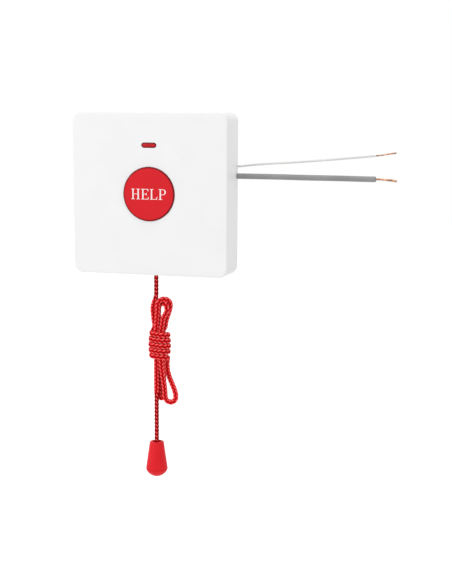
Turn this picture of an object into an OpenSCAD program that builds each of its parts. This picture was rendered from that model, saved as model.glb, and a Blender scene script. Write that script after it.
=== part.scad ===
// A wired panic button for a wall box: a square cover with a round call button, and a pull cord below.
// X points right, Z points up, and the back lies on the wall at Y = 0, so the front faces -Y.
// The origin is midway between the two wall screws, on the wall.

/* [Cover] */
// Width and height of the square cover
cover_w = 86; // [86:1:96]
// Depth from the wall to the front face
cover_d = 20; // [20:0.5:26]
// Radius of the cover's four corners
corner_r = 4.8; // [3:0.2:6]
// Radius of the rounded front edge
edge_r = 0.8; // [0.4:0.1:1.4]
// Thickness of the cover's side walls
wall_t = 2; // [1.6:0.1:2.4]
// Thickness of the cover's front
face_t = 2.2; // [1.8:0.1:2.6]
// Gap between the cover's rim and the wall
rim_gap = 0.2; // [0.1:0.1:0.4]

/* [Base] */
// Thickness of the base plate
base_t = 2.5; // [2:0.1:3]
// Gap round the base plate inside the cover
base_gap = 0.3; // [0.2:0.1:0.5]
// Distance between the two wall screws
screw_pitch = 60.3; // [60:0.1:61]
// Diameter of the wall screw holes
screw_hole_d = 4.4; // [4:0.1:5]
// Diameter of the four bosses that hold the cover off the base
boss_d = 6; // [5:0.5:7]

/* [Call button] */
// Diameter of the button cap
button_d = 28.4; // [26:0.2:29]
// Gap round the cap in its collar
button_gap = 0.25; // [0.2:0.05:0.4]
// How far the cap stands out of the cover
button_proud = 0.6; // [0.4:0.1:1.2]
// Travel of the cap
button_travel = 1.5; // [1:0.1:1.6]
// Thickness of the cap's front
cap_front_t = 2; // [1.6:0.1:2.4]
// Thickness of the cap's skirt
cap_skirt_t = 1.8; // [1.4:0.1:2.2]
// Radius of the cap's front edge
cap_edge_r = 0.5; // [0.3:0.1:0.8]
// Thickness of the collar that guides the cap
collar_t = 1.6; // [1.2:0.1:2]
// Length of the collar behind the cover's front
collar_l = 3.4; // [3:0.1:4]

/* [Lamp] */
// Distance from the cover's top down to the middle of the lamp window
lamp_top_in = 17.4; // [15:0.2:18]
// Width of the lamp window
window_w = 8.2; // [7:0.1:9]
// Height of the lamp window
window_h = 2.6; // [2.2:0.1:3]
// Depth of the window below the front face
window_recess = 0.2; // [0.1:0.1:0.4]
// Diameter of the lamp behind the window
lamp_d = 3; // [2.8:0.1:3.2]

/* [Circuit board] */
// Width of the board
board_w = 51; // [50:0.5:52]
// Distance from the cover's top down to the board
board_top_in = 9; // [8.5:0.5:10]
// Thickness of the board
board_t = 1.6; // [1.2:0.1:1.8]
// Height of the posts that carry the board
post_h = 5; // [4.5:0.1:5.2]
// Diameter of the posts
post_d = 6; // [5:0.5:7]

/* [Pull mechanism] */
// Distance of the cord from the wall
cord_y = 9; // [8.8:0.1:9.4]
// Diameter of the cord
cord_d = 2.35; // [2:0.05:2.5]
// How far the cord can be pulled
pull_travel = 4.5; // [3.5:0.5:4.5]
// Width of the slider
slider_w = 12; // [11.5:0.1:12.4]
// Height of the slider
slider_h = 12; // [11:0.5:12]
// Thickness of the slider
slider_t = 6; // [5.8:0.1:6.2]
// Running gap round the slider
slider_gap = 0.2; // [0.15:0.05:0.3]
// Rise of the slider's ramp for each millimetre of travel
ramp_share = 0.23; // [0.2:0.01:0.24]

/* [Pull tip] */
// Height of the tip's bell
bell_h = 15; // [12:0.5:18]
// Diameter of the bell at its top
bell_top_d = 7.6; // [6.6:0.1:8]
// Diameter of the bell at its seam
bell_seam_d = 12; // [10.6:0.1:13]
// Height of the domed end
dome_h = 4.2; // [4:0.1:5.4]

/* [Wires] */
// Diameter of the grey cable
grey_d = 2.95; // [2.8:0.05:3]
// Diameter of the white wire
white_d = 1.1; // [1:0.05:1.3]
// Diameter of the bare strands of the grey cable
grey_core_d = 1.3; // [1.1:0.1:1.5]
// Diameter of the bare strands of the white wire
white_core_d = 0.8; // [0.6:0.1:0.9]
// Distance between the two wires at the cover's side
pole_pitch = 5.08; // [5:0.04:5.2]

/* [Hidden] */

$fn = 48;
// Overrun of every cut past the face that it opens
over = 1;
// Thickness of the thin slices that a rounded edge is hulled from
slice_t = 0.01;
// Angles at which the rounded front edge is sliced
edge_angles = [30, 60, 90];

// Planes across the depth, all negative because the front faces -Y
face_y = -cover_d;
face_in_y = face_y + face_t;
rim_y = -rim_gap;
base_y = -base_t;
board_back_y = base_y - post_h;
board_y = board_back_y - board_t;
inner_w = cover_w - 2 * wall_t;
base_w = inner_w - 2 * base_gap;
half_w = cover_w / 2;

// Cover: bosses in the corners and pockets that the base's hooks snap into
boss_in = 5;
boss_at = inner_w / 2 - boss_in;
pocket_depth = 0.8;
pocket_h = 9;
hook_z = 26;
hook_h = 8;
hook_t = 1.5;
hook_gap = 0.2;
hook_lip = 0.9;
hook_l = 4;
hook_lip_y = base_y - hook_l;
hook_lip_t = 1.8;

// Button: lugs under the collar keep the cap in, the stem reaches the push switch
collar_in_d = button_d + 2 * button_gap;
collar_end_y = face_in_y + collar_l;
lug_gap = 0.2;
lug_t = 1;
lug_out = 1.2;
lug_w = 5;
lug_count = 3;
cap_front_y = face_y - button_proud;
cap_in_y = cap_front_y + cap_front_t;
skirt_end_y = collar_end_y + lug_gap + lug_t;
stem_d = 6;

// Push switch on the board behind the middle of the cap
switch_w = 12;
plunger_d = 7;
plunger_gap = 0.2;
plunger_out = 1.9;
plunger_sunk = 1.3;
bore_floor = 1.2;
switch_h = bore_floor + plunger_gap + button_travel + plunger_sunk;
leg_d = 0.8;
leg_x = 5;
leg_z = 2.5;
leg_out = 1.1;
leg_gap = 0.15;
switch_face_y = board_y - switch_h;
plunger_face_y = switch_face_y - plunger_out;

// Button spring round the push switch
button_wire_d = 0.8;
button_spring_gap = 1.1;
button_spring_d = sqrt(2) * switch_w + 2 * button_spring_gap + button_wire_d;
button_turns = 4;

// Board: its middle, its holes and its screws
hole_in = 3;
screw_d = 2.2;
pilot_gap = 0.1;
pilot_d = screw_d + pilot_gap;
clear_gap = 0.3;
clear_d = screw_d + 2 * clear_gap;
pilot_floor = 1;
head_d = 4.4;
head_h = 1.6;
slot_w = 0.8;
slot_depth = 0.7;

// Lamp and its window
lamp_z = half_w - lamp_top_in;
flange_side = 1.4;
flange_t = 1;
window_gap = 0.1;
lamp_h = 5.3;
lamp_rim_d = 3.8;
lamp_rim_h = 1;
lamp_window_gap = 0.5;
lamp_leg_d = 0.5;
lamp_leg_x = 1.27;

// Terminal block: two poles, the wires enter from +X
block_x = 16;
block_w = 9;
block_gap = 0.7;
block_h = board_y - face_in_y - block_gap;
block_side = 0.6;
block_z = 12;
chamber_w = 3.8;
chamber_floor = 1;
cage_gap = 0.1;
cage_w = chamber_w - 2 * cage_gap;
cage_l = 5;
wire_bore_d = 1.6;
clamp_screw_d = 2.6;
clamp_screw_gap = 0.1;
block_pin_d = 1;
entry_y = board_y - chamber_floor - chamber_w / 2;
pole_z = [block_z - pole_pitch / 2, block_z + pole_pitch / 2];
block_l = 2 * pole_pitch + block_side;
block_end_x = block_x + block_w;
strip_l = 1.5;
strip_x = block_end_x + strip_l;
wire_end_in = 2.5;
wire_end_x = block_x + wire_end_in;
wire_end_d = 1.3;

// Small parts with wire legs
part_x = -20;
part_z = [8, 14, 20];
part_l = 6.3;
part_d = 2.3;
part_leg_d = 0.5;
part_leg_span = 8.4;
part_leg_gap = 0.15;
part_lift = 0.1;
part_out = 0.9;

// Cord bush in the bottom wall
bush_d = 5.2;
bush_flange_d = 7.6;
bush_flange_t = 1;
bush_out = 0.4;
bush_gap = 0.1;
mouth_r = 0.6;

// Pull mechanism, from the bottom wall up
guide_floor_t = 2;
guide_floor_gap = 0.4;
guide_floor_z = -half_w + wall_t + bush_flange_t + guide_floor_gap;
guide_end_z = guide_floor_z + guide_floor_t;
// Room that the shut spring keeps below the slider
spring_room = 4.1;
slider_end_z = guide_end_z + spring_room + pull_travel;
slider_top_z = slider_end_z + slider_h;
slider_front_y = -cord_y - slider_t / 2;
slider_back_y = -cord_y + slider_t / 2;
rail_t = 2;
rail_y = -cord_y + slider_gap;
rail_x = slider_w / 2 + slider_gap;
stop_t = 1.6;
stop_z = slider_top_z + slider_gap;
// The board reaches from above the stop nearly to the cover's top
board_gap = 1.2;
board_end_z = stop_z + stop_t + board_gap;
board_h = half_w - board_top_in - board_end_z;
board_z = board_end_z + board_h / 2;
board_hole_x = board_w / 2 - hole_in;
board_hole_z = board_h / 2 - hole_in;
cord_gap = 0.3;
cord_hole_d = cord_d + 2 * cord_gap;
knot_d = 4.4;
knot_pocket_gap = 0.15;
knot_sunk = 0.6;
// Place of a knot's flat, as a share of its radius
knot_flat_share = 0.86;
knot_z = slider_top_z - knot_sunk - knot_d / 2;
upper_top_z = knot_z - knot_flat_share * knot_d / 2;
slider_spring_d = 6;
slider_wire_d = 0.6;
slider_turns = 4;

// The slider's ramp, which turns the micro switch's lever
ramp_drop = 7;
ramp_z = slider_top_z - ramp_drop;
ramp_x = 10;
ramp_below = 3;
ramp_over = 1.8;
ramp_above = pull_travel + ramp_over;
ramp_top_h = 0.5;
fin_front_y = slider_front_y;
fin_t = 2.8;

// The keeper plate over the slider
keeper_t = 1.5;
keeper_gap = 0.3;
keeper_back_y = slider_front_y - keeper_gap;
keeper_drop = 0.7;
keeper_top_z = min(slider_top_z, -button_d / 2 - lug_out) - keeper_drop;
keeper_foot_h = 4.6;
keeper_foot_z = guide_end_z + keeper_foot_h;
keeper_side = 12;
keeper_right = 4;
keeper_post_d = 4.4;
keeper_post_x = 9.8;
keeper_post_in = 2.3;
keeper_posts = [
    [-keeper_post_x, keeper_top_z - keeper_post_in], [keeper_post_x, guide_end_z + keeper_post_in]
];

// Micro switch
micro_x = 15;
micro_w = 6.5;
micro_t = 5.8;
micro_drop = 0.2;
micro_top_z = ramp_z - micro_drop;
micro_h = 12.8;
micro_ahead = 1.6;
micro_mid_y = -cord_y - micro_ahead;
micro_y0 = micro_mid_y - micro_t / 2;
micro_y1 = micro_mid_y + micro_t / 2;
micro_end_z = micro_top_z - micro_h;
micro_hole_in = 3;
micro_hole_x = micro_x + micro_w / 2;
micro_hole_z = [micro_end_z + micro_hole_in, micro_top_z - micro_hole_in];
pivot_out = 0.8;
pivot_drop = 10;
pivot = [micro_x - pivot_out, ramp_z - pivot_drop];
pivot_d = 1;
pivot_gap = 0.05;
ear_r = 0.8;
ear_t = 0.8;
lever_w = 3.6;
lever_t = 0.4;
roll_r = 0.8;
roll_gap = 0.15;
roll = [ramp_x + roll_gap + roll_r, ramp_z];
push_drop = 6;
push_z = ramp_z - push_drop;
push_h = 0.8;
push_w = 2;
push_out = 1.55;
push_tip_x = micro_x - push_out;
push_gap = 0.1;
push_sunk = 1.2;
tab_l = 3.5;
tab_w = 0.5;
tab_drop = 1.6;
tab_pitch = 5;
tab_z = [for (i = [2, 1, 0]) ramp_z - tab_drop - tab_pitch * i];
tab_y = 2.4;

// Hank of the spare cord, in the plane of the cord and the next one behind it
hank_gap = 0.42;
hank_step = cord_d + hank_gap;
hank_top_z = -53.5;
// Length that the hank starts with straight down
hank_stub = 0.8;
hank_end_z = -118;
waist_top_z = -75.3;
waist_end_z = -91.3;
wrap_turns = 4.5;
wrap_pitch = 3.05;
wrap_start_z = -75.7;
wrap_bend = 3.7;
wrap_bend_angle = 45;
wrap_lead_angle = 5;
// The wrap is a rounded square: this power gives its squareness, 2 being a circle
wrap_power = 3;
wrap_r = (hank_step / sqrt(2) + hank_step) / pow(2, 1 / 2 - 1 / wrap_power);
run_rings = 4;
// Shares of its half turn between which a bight changes its layer
inner_shift_shares = [0.1, 0.65];
outer_shift_shares = [0, 0.9];
bight_rings = 8;
turn_rings = 24;
cord_sides = 8;
wound_sides = 6;
front_y = -cord_y;
back_y = -cord_y + hank_step;
waist_x = hank_step / 2;
waist_y = -cord_y + hank_step / 2;
// Each bight: X and Z of its middle, then its radius
inner_eye = [3.25, -62.85, 2.95];
outer_eye = [4.15, -60.45, 3.25];
open_end = [8, -110.9, 3.1];
tight_end = [2, -111.25, 1.45];
// Where the cord swings out to the left and back on its way to the wrap
swing = [-3.5, -5.9, -63.5];
// Where the run to the inner eye has left the waist, and how far to the side
gather_out = 0.9;
gather_z = -69;

// Tip on the cord's end
tip_top_z = -137;
mouth_d = 5;
mouth_h = 3;
neck_h = 3;
cavity_d = 8;
spigot_gap = 0.1;
spigot_h = 2.4;
tip_knot_d = 5.2;
tip_knot_gap = 0.4;
seam_z = tip_top_z - bell_h;
cavity_top_z = tip_top_z - mouth_h - neck_h;
tip_knot_z = cavity_top_z - tip_knot_gap - tip_knot_d / 2;
dome_r = (pow(bell_seam_d / 2, 2) + pow(dome_h, 2)) / (2 * dome_h);

// Wire outlet in the side wall, and the clamp inside it
outlet_y = -1.7;
outlet_gap = 0.2;
clamp_in = 9;
clamp_x = half_w - clamp_in;
clamp_w = 3.6;
clamp_z = [2.8, 21];
clamp_screw_in = 2.3;
clamp_cover = 1.2;
clamp_lift = 0.1;
clamp_groove_gap = 0.1;
clamp_screw_depth = 1.8;
grey_clamp_y = base_y - grey_d / 2 - clamp_lift;
white_clamp_y = base_y - white_d / 2 - clamp_lift;
clamp_front_y = grey_clamp_y - grey_d / 2 - clamp_cover;
slot_gap = 0.1;
slot_x = clamp_x + clamp_w + slot_gap;
slot_side = 2.6;

// Routes of the wires inside, as shares: of the way from the terminal to the clamp and to the
// clamp's depth, then of the way back from the outlet to the clamp and to the clamp's depth
lead_shares = [[0, 0], [0.13, 0], [0.29, 0.1], [0.48, 0.45], [0.67, 0.85], [0.88, 1], [1.07, 1]];
exit_shares = [[0.61, 1], [0.5, 0.88], [0.38, 0.3], [0.26, 0.02], [0.13, 0], [0, 0]];
// Routes of the free wires, measured from the outlet
grey_route = [
    [0, 0, 0], [3, 0, 0], [10, 0, 0], [18, 0, 0], [26, 0, 0], [34, 0, -0.1], [42, 0, -0.1],
    [50, 0, -0.1], [58, 0, -0.1], [66, 0, -0.2], [71, 0, -0.2], [74, 0, -0.2]
];
white_route = [
    [0, 0, 0], [3, 0, 0.2], [7, 0, 0.8], [12, 0, 1.3], [18, 0, 1.8], [26, 0, 2.3], [34, 0, 2.9],
    [42, 0, 3.6], [50, 0, 4.3], [58, 0, 5.1], [66, 0, 5.9], [71, 0, 6.4], [74, 0, 6.7]
];
// Bare ends, measured from the end of the jacket
grey_core_route = [[0, 0, 0], [3, 0, 0], [8, 0, -0.4], [11.5, 0, -0.8]];
white_core_route = [[0, 0, 0], [3, 0, 0.4], [7, 0, 1.1], [11, 0, 1.7]];
// Routes of the two leads from the micro switch to the board, measured from the slider's top
lead_d = 1.2;
common_route = [
    [25, -10.6, -18.6], [26.4, -10.6, -18.6], [27.8, -10.6, -17.2], [28.4, -10.6, -13],
    [28.4, -10.8, -7], [27.4, -11.2, -1], [24, -11.8, 2.4], [20, -12.2, 4.4], [17.6, -12.2, 5],
    [16.4, -11.7, 5], [16, -10.6, 5], [16, -9.1, 5]
];
open_route = [
    [25, -10.6, -13.6], [26, -10.6, -13.6], [26.6, -10.6, -12.4], [26.6, -10.8, -8],
    [25, -11.2, -2.5], [20, -11.8, 1], [15, -12.2, 4], [13, -12.2, 4.8], [11.6, -11.7, 5],
    [11.2, -10.6, 5], [11.2, -9.1, 5]
];

// Box between two opposite corners
module span(a, b) {
    translate(a) cube(b - a);
}

// Outline of a rounded rectangle, made of squares and circles
module rounded_rect(w, h, r) {
    square([w - 2 * r, h], center = true);
    square([w, h - 2 * r], center = true);
    for (x = [-1, 1], z = [-1, 1]) {
        translate([x * (w / 2 - r), z * (h / 2 - r)]) circle(r);
    }
}

// An outline in X and Z, extruded along Y from y0 to y1
module along_y(y0, y1) {
    translate([0, y1, 0]) rotate([90, 0, 0]) linear_extrude(y1 - y0) children();
}

// Round bar along Y at a place in X and Z
module bar_y(p, d, y0, y1) {
    translate([p.x, y1, p.y]) rotate([90, 0, 0]) cylinder(d = d, h = y1 - y0);
}

// Round bar along X at a place in Y and Z
module bar_x(p, d, x0, x1) {
    translate([x0, p.x, p.y]) rotate([0, 90, 0]) cylinder(d = d, h = x1 - x0);
}

// Round bar along Z at a place in X and Y
module bar_z(p, d, z0, z1) {
    translate([p.x, p.y, z0]) cylinder(d = d, h = z1 - z0);
}

// Screw with its head on the plane y, its shank running to +Y
module screw(p, y, depth) {
    difference() {
        union() {
            bar_y(p, head_d, y - head_h, y);
            bar_y(p, screw_d, y - head_h, y + depth);
        }
        span(
            [p.x - head_d, y - head_h - over, p.y - slot_w / 2],
            [p.x + head_d, y - head_h + slot_depth, p.y + slot_w / 2]
        );
    }
}

// Unit vector along v
function unit(v) = v / norm(v);

// Direction of travel at point i of the route p
function travel(p, i) = unit(p[min(i + 1, len(p) - 1)] - p[max(i - 1, 0)]);

// The part of n that is square to t, at unit length
function square_to(n, t) = unit(n - (n * t) * t);

// A vector across t to start a tube's rings from
function across(t) = square_to(abs(t.y) < 0.9 ? [0, 1, 0] : [1, 0, 0], t);

// One vector across the route at each of its points, turned as little as possible
function carried(p) = [
    for (i = 0, n = across(travel(p, 0)); i < len(p);
        i = i + 1, n = i < len(p) ? square_to(n, travel(p, i)) : n) n
];

// Points of a tube's rings along the route p
function rings(p, d, sides) = let (c = carried(p)) [
    for (i = [0 : len(p) - 1], s = [0 : sides - 1])
        let (t = travel(p, i), a = 360 * s / sides)
        p[i] + d / 2 * (cos(a) * c[i] + sin(a) * cross(t, c[i]))
];

// Faces of a tube with flat ends, all triangles
function tube_faces(count, sides) = concat(
    [for (s = [1 : sides - 2]) [0, s, s + 1]],
    [for (i = [0 : count - 2], s = [0 : sides - 1], h = [0, 1])
        let (a = i * sides, b = a + sides, n = (s + 1) % sides)
        h == 0 ? [a + s, b + s, a + n] : [a + n, b + s, b + n]],
    [for (s = [1 : sides - 2])
        let (e = (count - 1) * sides) [e, e + s + 1, e + s]]
);

// Tube of diameter d along the route p
module tube(p, d, sides) {
    polyhedron(rings(p, d, sides), tube_faces(len(p), sides), convexity = 8);
}

// A route moved by v
function moved(p, v) = [for (q = p) q + v];

// Turns of a round spring along Z, from z0 to z1 at the wire's middle
function coil(d, z0, z1, turns, count) = [
    for (i = [0 : turns * count]) let (k = i / (turns * count))
        [d / 2 * cos(360 * turns * k), d / 2 * sin(360 * turns * k), z0 + (z1 - z0) * k]
];

// Share of the way that starts and ends gently
function gently(k) = k * k * (3 - 2 * k);

// Run of the cord from a to b, upright at both ends
function run(a, b, count) = [
    for (i = [1 : count]) let (k = i / count, s = gently(k))
        [a.x + (b.x - a.x) * s, a.y + (b.y - a.y) * s, a.z + (b.z - a.z) * k]
];

// Share of the way between two shares, held at its ends
function between(k, shares) = gently(max(0, min(1, (k - shares[0]) / (shares[1] - shares[0]))));

// Bight: half a turn from one run to the next, about [X, Z, radius] from angle a0 to a1
function bight(m, a0, a1, y0, y1, shift_shares) = [
    for (i = [1 : bight_rings]) let (k = i / bight_rings, a = a0 + (a1 - a0) * k)
        [m.x + m.z * cos(a), y0 + (y1 - y0) * between(k, shift_shares), m.y + m.z * sin(a)]
];

// Distance of the wrap from the waist's middle at angle a
function wrap_out_r(a) = wrap_r / pow(
    pow(abs(cos(a)), wrap_power) + pow(abs(sin(a)), wrap_power), 1 / wrap_power
);

// Point on the wrap at angle a, counted from its left side towards the front
function on_wrap(a, z) = [waist_x - wrap_out_r(a) * cos(a), waist_y - wrap_out_r(a) * sin(a), z];

// Height of the wrap at angle a
function wrap_z(a) = wrap_start_z - wrap_pitch * a / 360;

// Angles where the wrap starts and ends
wrap_a0 = -wrap_lead_angle;
wrap_a1 = 360 * wrap_turns;
wrap_in = on_wrap(wrap_a0 - wrap_bend_angle, wrap_z(wrap_a0) + wrap_bend);
wrap_out = on_wrap(wrap_a1 + wrap_bend_angle, wrap_z(wrap_a1) - wrap_bend);

// The whole hank as one route: to the left and round the wrap, down the right side of the open
// end, up, through the inner eye, down, round the tight end, up, through the outer eye and
// straight down as the tail
hank_route = concat(
    [[0, front_y, hank_top_z], [0, front_y, hank_top_z - hank_stub]],
    run([0, front_y, hank_top_z - hank_stub], swing, run_rings),
    run(swing, wrap_in, run_rings),
    [for (i = [1 : run_rings]) let (a = 90 * i / run_rings)
        on_wrap(wrap_a0 - wrap_bend_angle * cos(a), wrap_in.z - wrap_bend * sin(a))],
    [for (i = [1 : wrap_turns * turn_rings])
        let (a = wrap_a0 + (wrap_a1 - wrap_a0) * i / (wrap_turns * turn_rings)) on_wrap(a, wrap_z(a))],
    [for (i = [1 : run_rings]) let (a = 90 * i / run_rings)
        on_wrap(wrap_a1 + wrap_bend_angle * sin(a), wrap_out.z + wrap_bend * cos(a))],
    run(wrap_out, [open_end.x + open_end.z, front_y, open_end.y], run_rings),
    bight(open_end, 360, 180, front_y, front_y, outer_shift_shares),
    run([open_end.x - open_end.z, front_y, open_end.y], [hank_step, front_y, waist_end_z], run_rings),
    run([hank_step, front_y, waist_top_z], [hank_step + gather_out, front_y, gather_z], run_rings),
    run(
        [hank_step + gather_out, front_y, gather_z], [inner_eye.x + inner_eye.z, front_y, inner_eye.y],
        run_rings
    ),
    bight(inner_eye, 0, 180, front_y, back_y, inner_shift_shares),
    run([inner_eye.x - inner_eye.z, back_y, inner_eye.y], [0, back_y, waist_top_z], run_rings),
    run([0, back_y, waist_end_z], [tight_end.x - tight_end.z, back_y, tight_end.y], run_rings),
    bight(tight_end, 180, 360, back_y, back_y, inner_shift_shares),
    run([tight_end.x + tight_end.z, back_y, tight_end.y], [hank_step, back_y, waist_end_z], run_rings),
    run([hank_step, back_y, waist_top_z], [outer_eye.x + outer_eye.z, back_y, outer_eye.y], run_rings),
    bight(outer_eye, 0, 180, back_y, front_y, outer_shift_shares),
    run([outer_eye.x - outer_eye.z, front_y, outer_eye.y], [0, front_y, waist_top_z], run_rings),
    [[0, front_y, waist_end_z], [0, front_y, hank_end_z]]
);

// Length along the route up to each point
function lengths(p) = [
    for (i = 0, s = 0; i < len(p); i = i + 1, s = i < len(p) ? s + norm(p[i] - p[i - 1]) : s) s
];

// Least gap between two places of a tube that are more than apart along it
function least_gap(p, d, apart) = let (s = lengths(p)) min([
    for (i = [0 : len(p) - 2], j = [i + 1 : len(p) - 1]) if (s[j] - s[i] > apart) norm(p[i] - p[j])
]) - d;

echo(hank_least_gap_mm = least_gap(hank_route, cord_d, PI * tight_end.z));
echo(hank_length_mm = lengths(hank_route)[len(hank_route) - 1]);

module front_cover() {
    color("white") difference() {
        union() {
            difference() {
                hull() {
                    along_y(face_y + edge_r, rim_y) rounded_rect(cover_w, cover_w, corner_r, $fn = 32);
                    for (a = edge_angles) {
                        in = edge_r * (1 - cos(a));
                        y = face_y + edge_r * (1 - sin(a));
                        along_y(y, y + slice_t)
                            rounded_rect(cover_w - 2 * in, cover_w - 2 * in, corner_r - in, $fn = 32);
                    }
                }
                along_y(face_in_y, over) rounded_rect(inner_w, inner_w, corner_r - wall_t);
            }
            bar_y([0, 0], collar_in_d + 2 * collar_t, face_in_y, collar_end_y);
            for (x = [-1, 1], z = [-1, 1]) {
                bar_y([x * boss_at, z * boss_at], boss_d, face_in_y, base_y);
            }
        }
        bar_y([0, 0], collar_in_d, face_y - over, collar_end_y + over);
        translate([0, 0, lamp_z]) along_y(face_y - over, face_in_y + over)
            rounded_rect(
                window_w + 2 * window_gap, window_h + 2 * window_gap, window_h / 2 + window_gap - slice_t
            );
        bar_z([0, -cord_y], bush_d + 2 * bush_gap, -half_w - over, -half_w + wall_t + over);
        for (x = [-1, 1], z = [-1, 1]) {
            translate([x * inner_w / 2, 0, z * hook_z]) span(
                [-pocket_depth, hook_lip_y - hook_lip_t - hook_gap, -pocket_h / 2],
                [pocket_depth, hook_lip_y + hook_gap, pocket_h / 2]
            );
        }
        wire_outlet(pole_z[0], grey_d);
        wire_outlet(pole_z[1], white_d);
    }
}

// Round-ended notch in the side wall's rear edge for a wire of diameter d
module wire_outlet(z, d) {
    w = d + 2 * outlet_gap;
    bar_x([outlet_y, z], w, inner_w / 2 - over, half_w + over);
    span([inner_w / 2 - over, outlet_y, z - w / 2], [half_w + over, over, z + w / 2]);
}

// Hook that snaps into the cover's pocket; side is -1 or 1
module hook(side, z) {
    outer = inner_w / 2 - hook_gap;
    tip = outer + hook_lip - hook_gap;
    mirror([side < 0 ? 1 : 0, 0, 0]) translate([0, 0, z - hook_h / 2]) linear_extrude(hook_h) polygon([
        [outer - hook_t, base_y], [outer - base_gap, base_y], [outer - base_gap, hook_lip_y],
        [tip, hook_lip_y], [outer, hook_lip_y - hook_lip_t], [outer - hook_t, hook_lip_y - hook_lip_t]
    ]);
}

module rear_base() {
    color("whitesmoke") difference() {
        union() {
            along_y(base_y, 0) rounded_rect(base_w, base_w, corner_r - wall_t - base_gap);
            for (x = [-1, 1], z = [-1, 1]) {
                bar_y([x * board_hole_x, board_z + z * board_hole_z], post_d, board_back_y, base_y);
                hook(x, z * hook_z);
            }
            // Rails, pad and end walls of the slider's guide
            for (x = [-1, 1]) {
                a = x * rail_x;
                b = x * (rail_x + rail_t);
                span([min(a, b), rail_y, guide_floor_z], [max(a, b), base_y, stop_z + stop_t]);
            }
            span([-rail_x, slider_back_y + slider_gap, guide_floor_z], [rail_x, base_y, stop_z + stop_t]);
            span([-rail_x, rail_y, stop_z], [rail_x, base_y, stop_z + stop_t]);
            span([-rail_x, slider_front_y, guide_floor_z], [rail_x, base_y, guide_end_z]);
            for (p = keeper_posts) {
                bar_y(p, keeper_post_d, keeper_back_y, base_y);
            }
            for (z = micro_hole_z) {
                bar_y([micro_hole_x, z], keeper_post_d, micro_y1, base_y);
            }
        }
        bar_z([0, -cord_y], cord_hole_d, guide_floor_z - over, guide_end_z + over);
        for (x = [-1, 1]) {
            bar_y([x * screw_pitch / 2, 0], screw_hole_d, base_y - over, over);
        }
        for (x = [-1, 1], z = [-1, 1]) {
            bar_y(
                [x * board_hole_x, board_z + z * board_hole_z], pilot_d,
                board_back_y - over, -pilot_floor
            );
        }
        for (p = keeper_posts) {
            bar_y(p, pilot_d, keeper_back_y - over, -pilot_floor);
        }
        for (z = micro_hole_z) {
            bar_y([micro_hole_x, z], pilot_d, micro_y1 - over, -pilot_floor);
        }
        for (z = [clamp_z[0] + clamp_screw_in, clamp_z[1] - clamp_screw_in]) {
            bar_y(
                [clamp_x + clamp_w / 2, z], pilot_d,
                base_y - over, base_y + clamp_screw_depth + pilot_gap
            );
        }
        span(
            [slot_x, base_y - over, pole_z[0] - slot_side],
            [base_w / 2 + over, over, pole_z[1] + slot_side]
        );
    }
}

module cord_bush() {
    color("white") difference() {
        union() {
            bar_z([0, -cord_y], bush_d, -half_w - bush_out, -half_w + wall_t);
            bar_z([0, -cord_y], bush_flange_d, -half_w + wall_t, -half_w + wall_t + bush_flange_t);
        }
        bar_z(
            [0, -cord_y], cord_hole_d,
            -half_w - bush_out - over, -half_w + wall_t + bush_flange_t + over
        );
        translate([0, -cord_y, -half_w - bush_out])
            cylinder(r1 = cord_hole_d / 2 + mouth_r, r2 = cord_hole_d / 2, h = mouth_r);
    }
}

module lamp_window() {
    end_y = board_y - lamp_h - lamp_window_gap;
    color("firebrick") translate([0, 0, lamp_z]) {
        along_y(face_y + window_recess, end_y) rounded_rect(window_w, window_h, window_h / 2 - slice_t);
        along_y(face_in_y, face_in_y + flange_t) rounded_rect(
            window_w + 2 * flange_side, window_h + 2 * flange_side, window_h / 2
        );
    }
}

module signal_lamp() {
    color("red") translate([0, 0, lamp_z]) {
        bar_y([0, 0], lamp_rim_d, board_y - lamp_rim_h, board_y);
        bar_y([0, 0], lamp_d, board_y - lamp_h + lamp_d / 2, board_y);
        translate([0, board_y - lamp_h + lamp_d / 2, 0]) sphere(d = lamp_d);
        for (x = [-1, 1]) {
            bar_y([x * lamp_leg_x, 0], lamp_leg_d, board_y, board_back_y + part_out);
        }
    }
}

module circuit_board() {
    color("seagreen") difference() {
        translate([0, 0, board_z]) along_y(board_y, board_back_y) rounded_rect(board_w, board_h, wall_t);
        for (x = [-1, 1], z = [-1, 1]) {
            bar_y(
                [x * board_hole_x, board_z + z * board_hole_z], clear_d,
                board_y - over, board_back_y + over
            );
            bar_y([x * leg_x, z * leg_z], leg_d + 2 * leg_gap, board_y - over, board_back_y + over);
        }
        for (x = [-1, 1]) {
            bar_y([x * lamp_leg_x, lamp_z], lamp_leg_d + 2 * leg_gap, board_y - over, board_back_y + over);
            for (z = part_z) {
                bar_y(
                    [part_x + x * part_leg_span / 2, z], part_leg_d + 2 * part_leg_gap,
                    board_y - over, board_back_y + over
                );
            }
        }
        for (z = pole_z) {
            bar_y(
                [block_x + block_w / 2, z], block_pin_d + 2 * leg_gap,
                board_y - over, board_back_y + over
            );
        }
    }
}

module board_screws() {
    color("silver") for (x = [-1, 1], z = [-1, 1]) {
        screw([x * board_hole_x, board_z + z * board_hole_z], board_y, board_t + post_h);
    }
}

module call_button() {
    r = button_d / 2;
    color("red") {
        rotate([90, 0, 0]) rotate_extrude() difference() {
            union() {
                translate([0, -skirt_end_y]) square([r, skirt_end_y - cap_front_y - cap_edge_r]);
                translate([0, -skirt_end_y]) square([r - cap_edge_r, skirt_end_y - cap_front_y]);
                translate([r - cap_edge_r, -cap_front_y - cap_edge_r]) circle(cap_edge_r);
            }
            translate([0, -skirt_end_y - over]) square([r - cap_skirt_t, skirt_end_y - cap_in_y + over]);
        }
        bar_y([0, 0], stem_d, cap_in_y - slice_t, plunger_face_y);
        for (i = [0 : lug_count - 1]) {
            rotate([0, 360 * i / lug_count, 0])
                span(
                    [r - cap_skirt_t, skirt_end_y - lug_t, -lug_w / 2],
                    [r + lug_out, skirt_end_y, lug_w / 2]
                );
        }
    }
}

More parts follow.
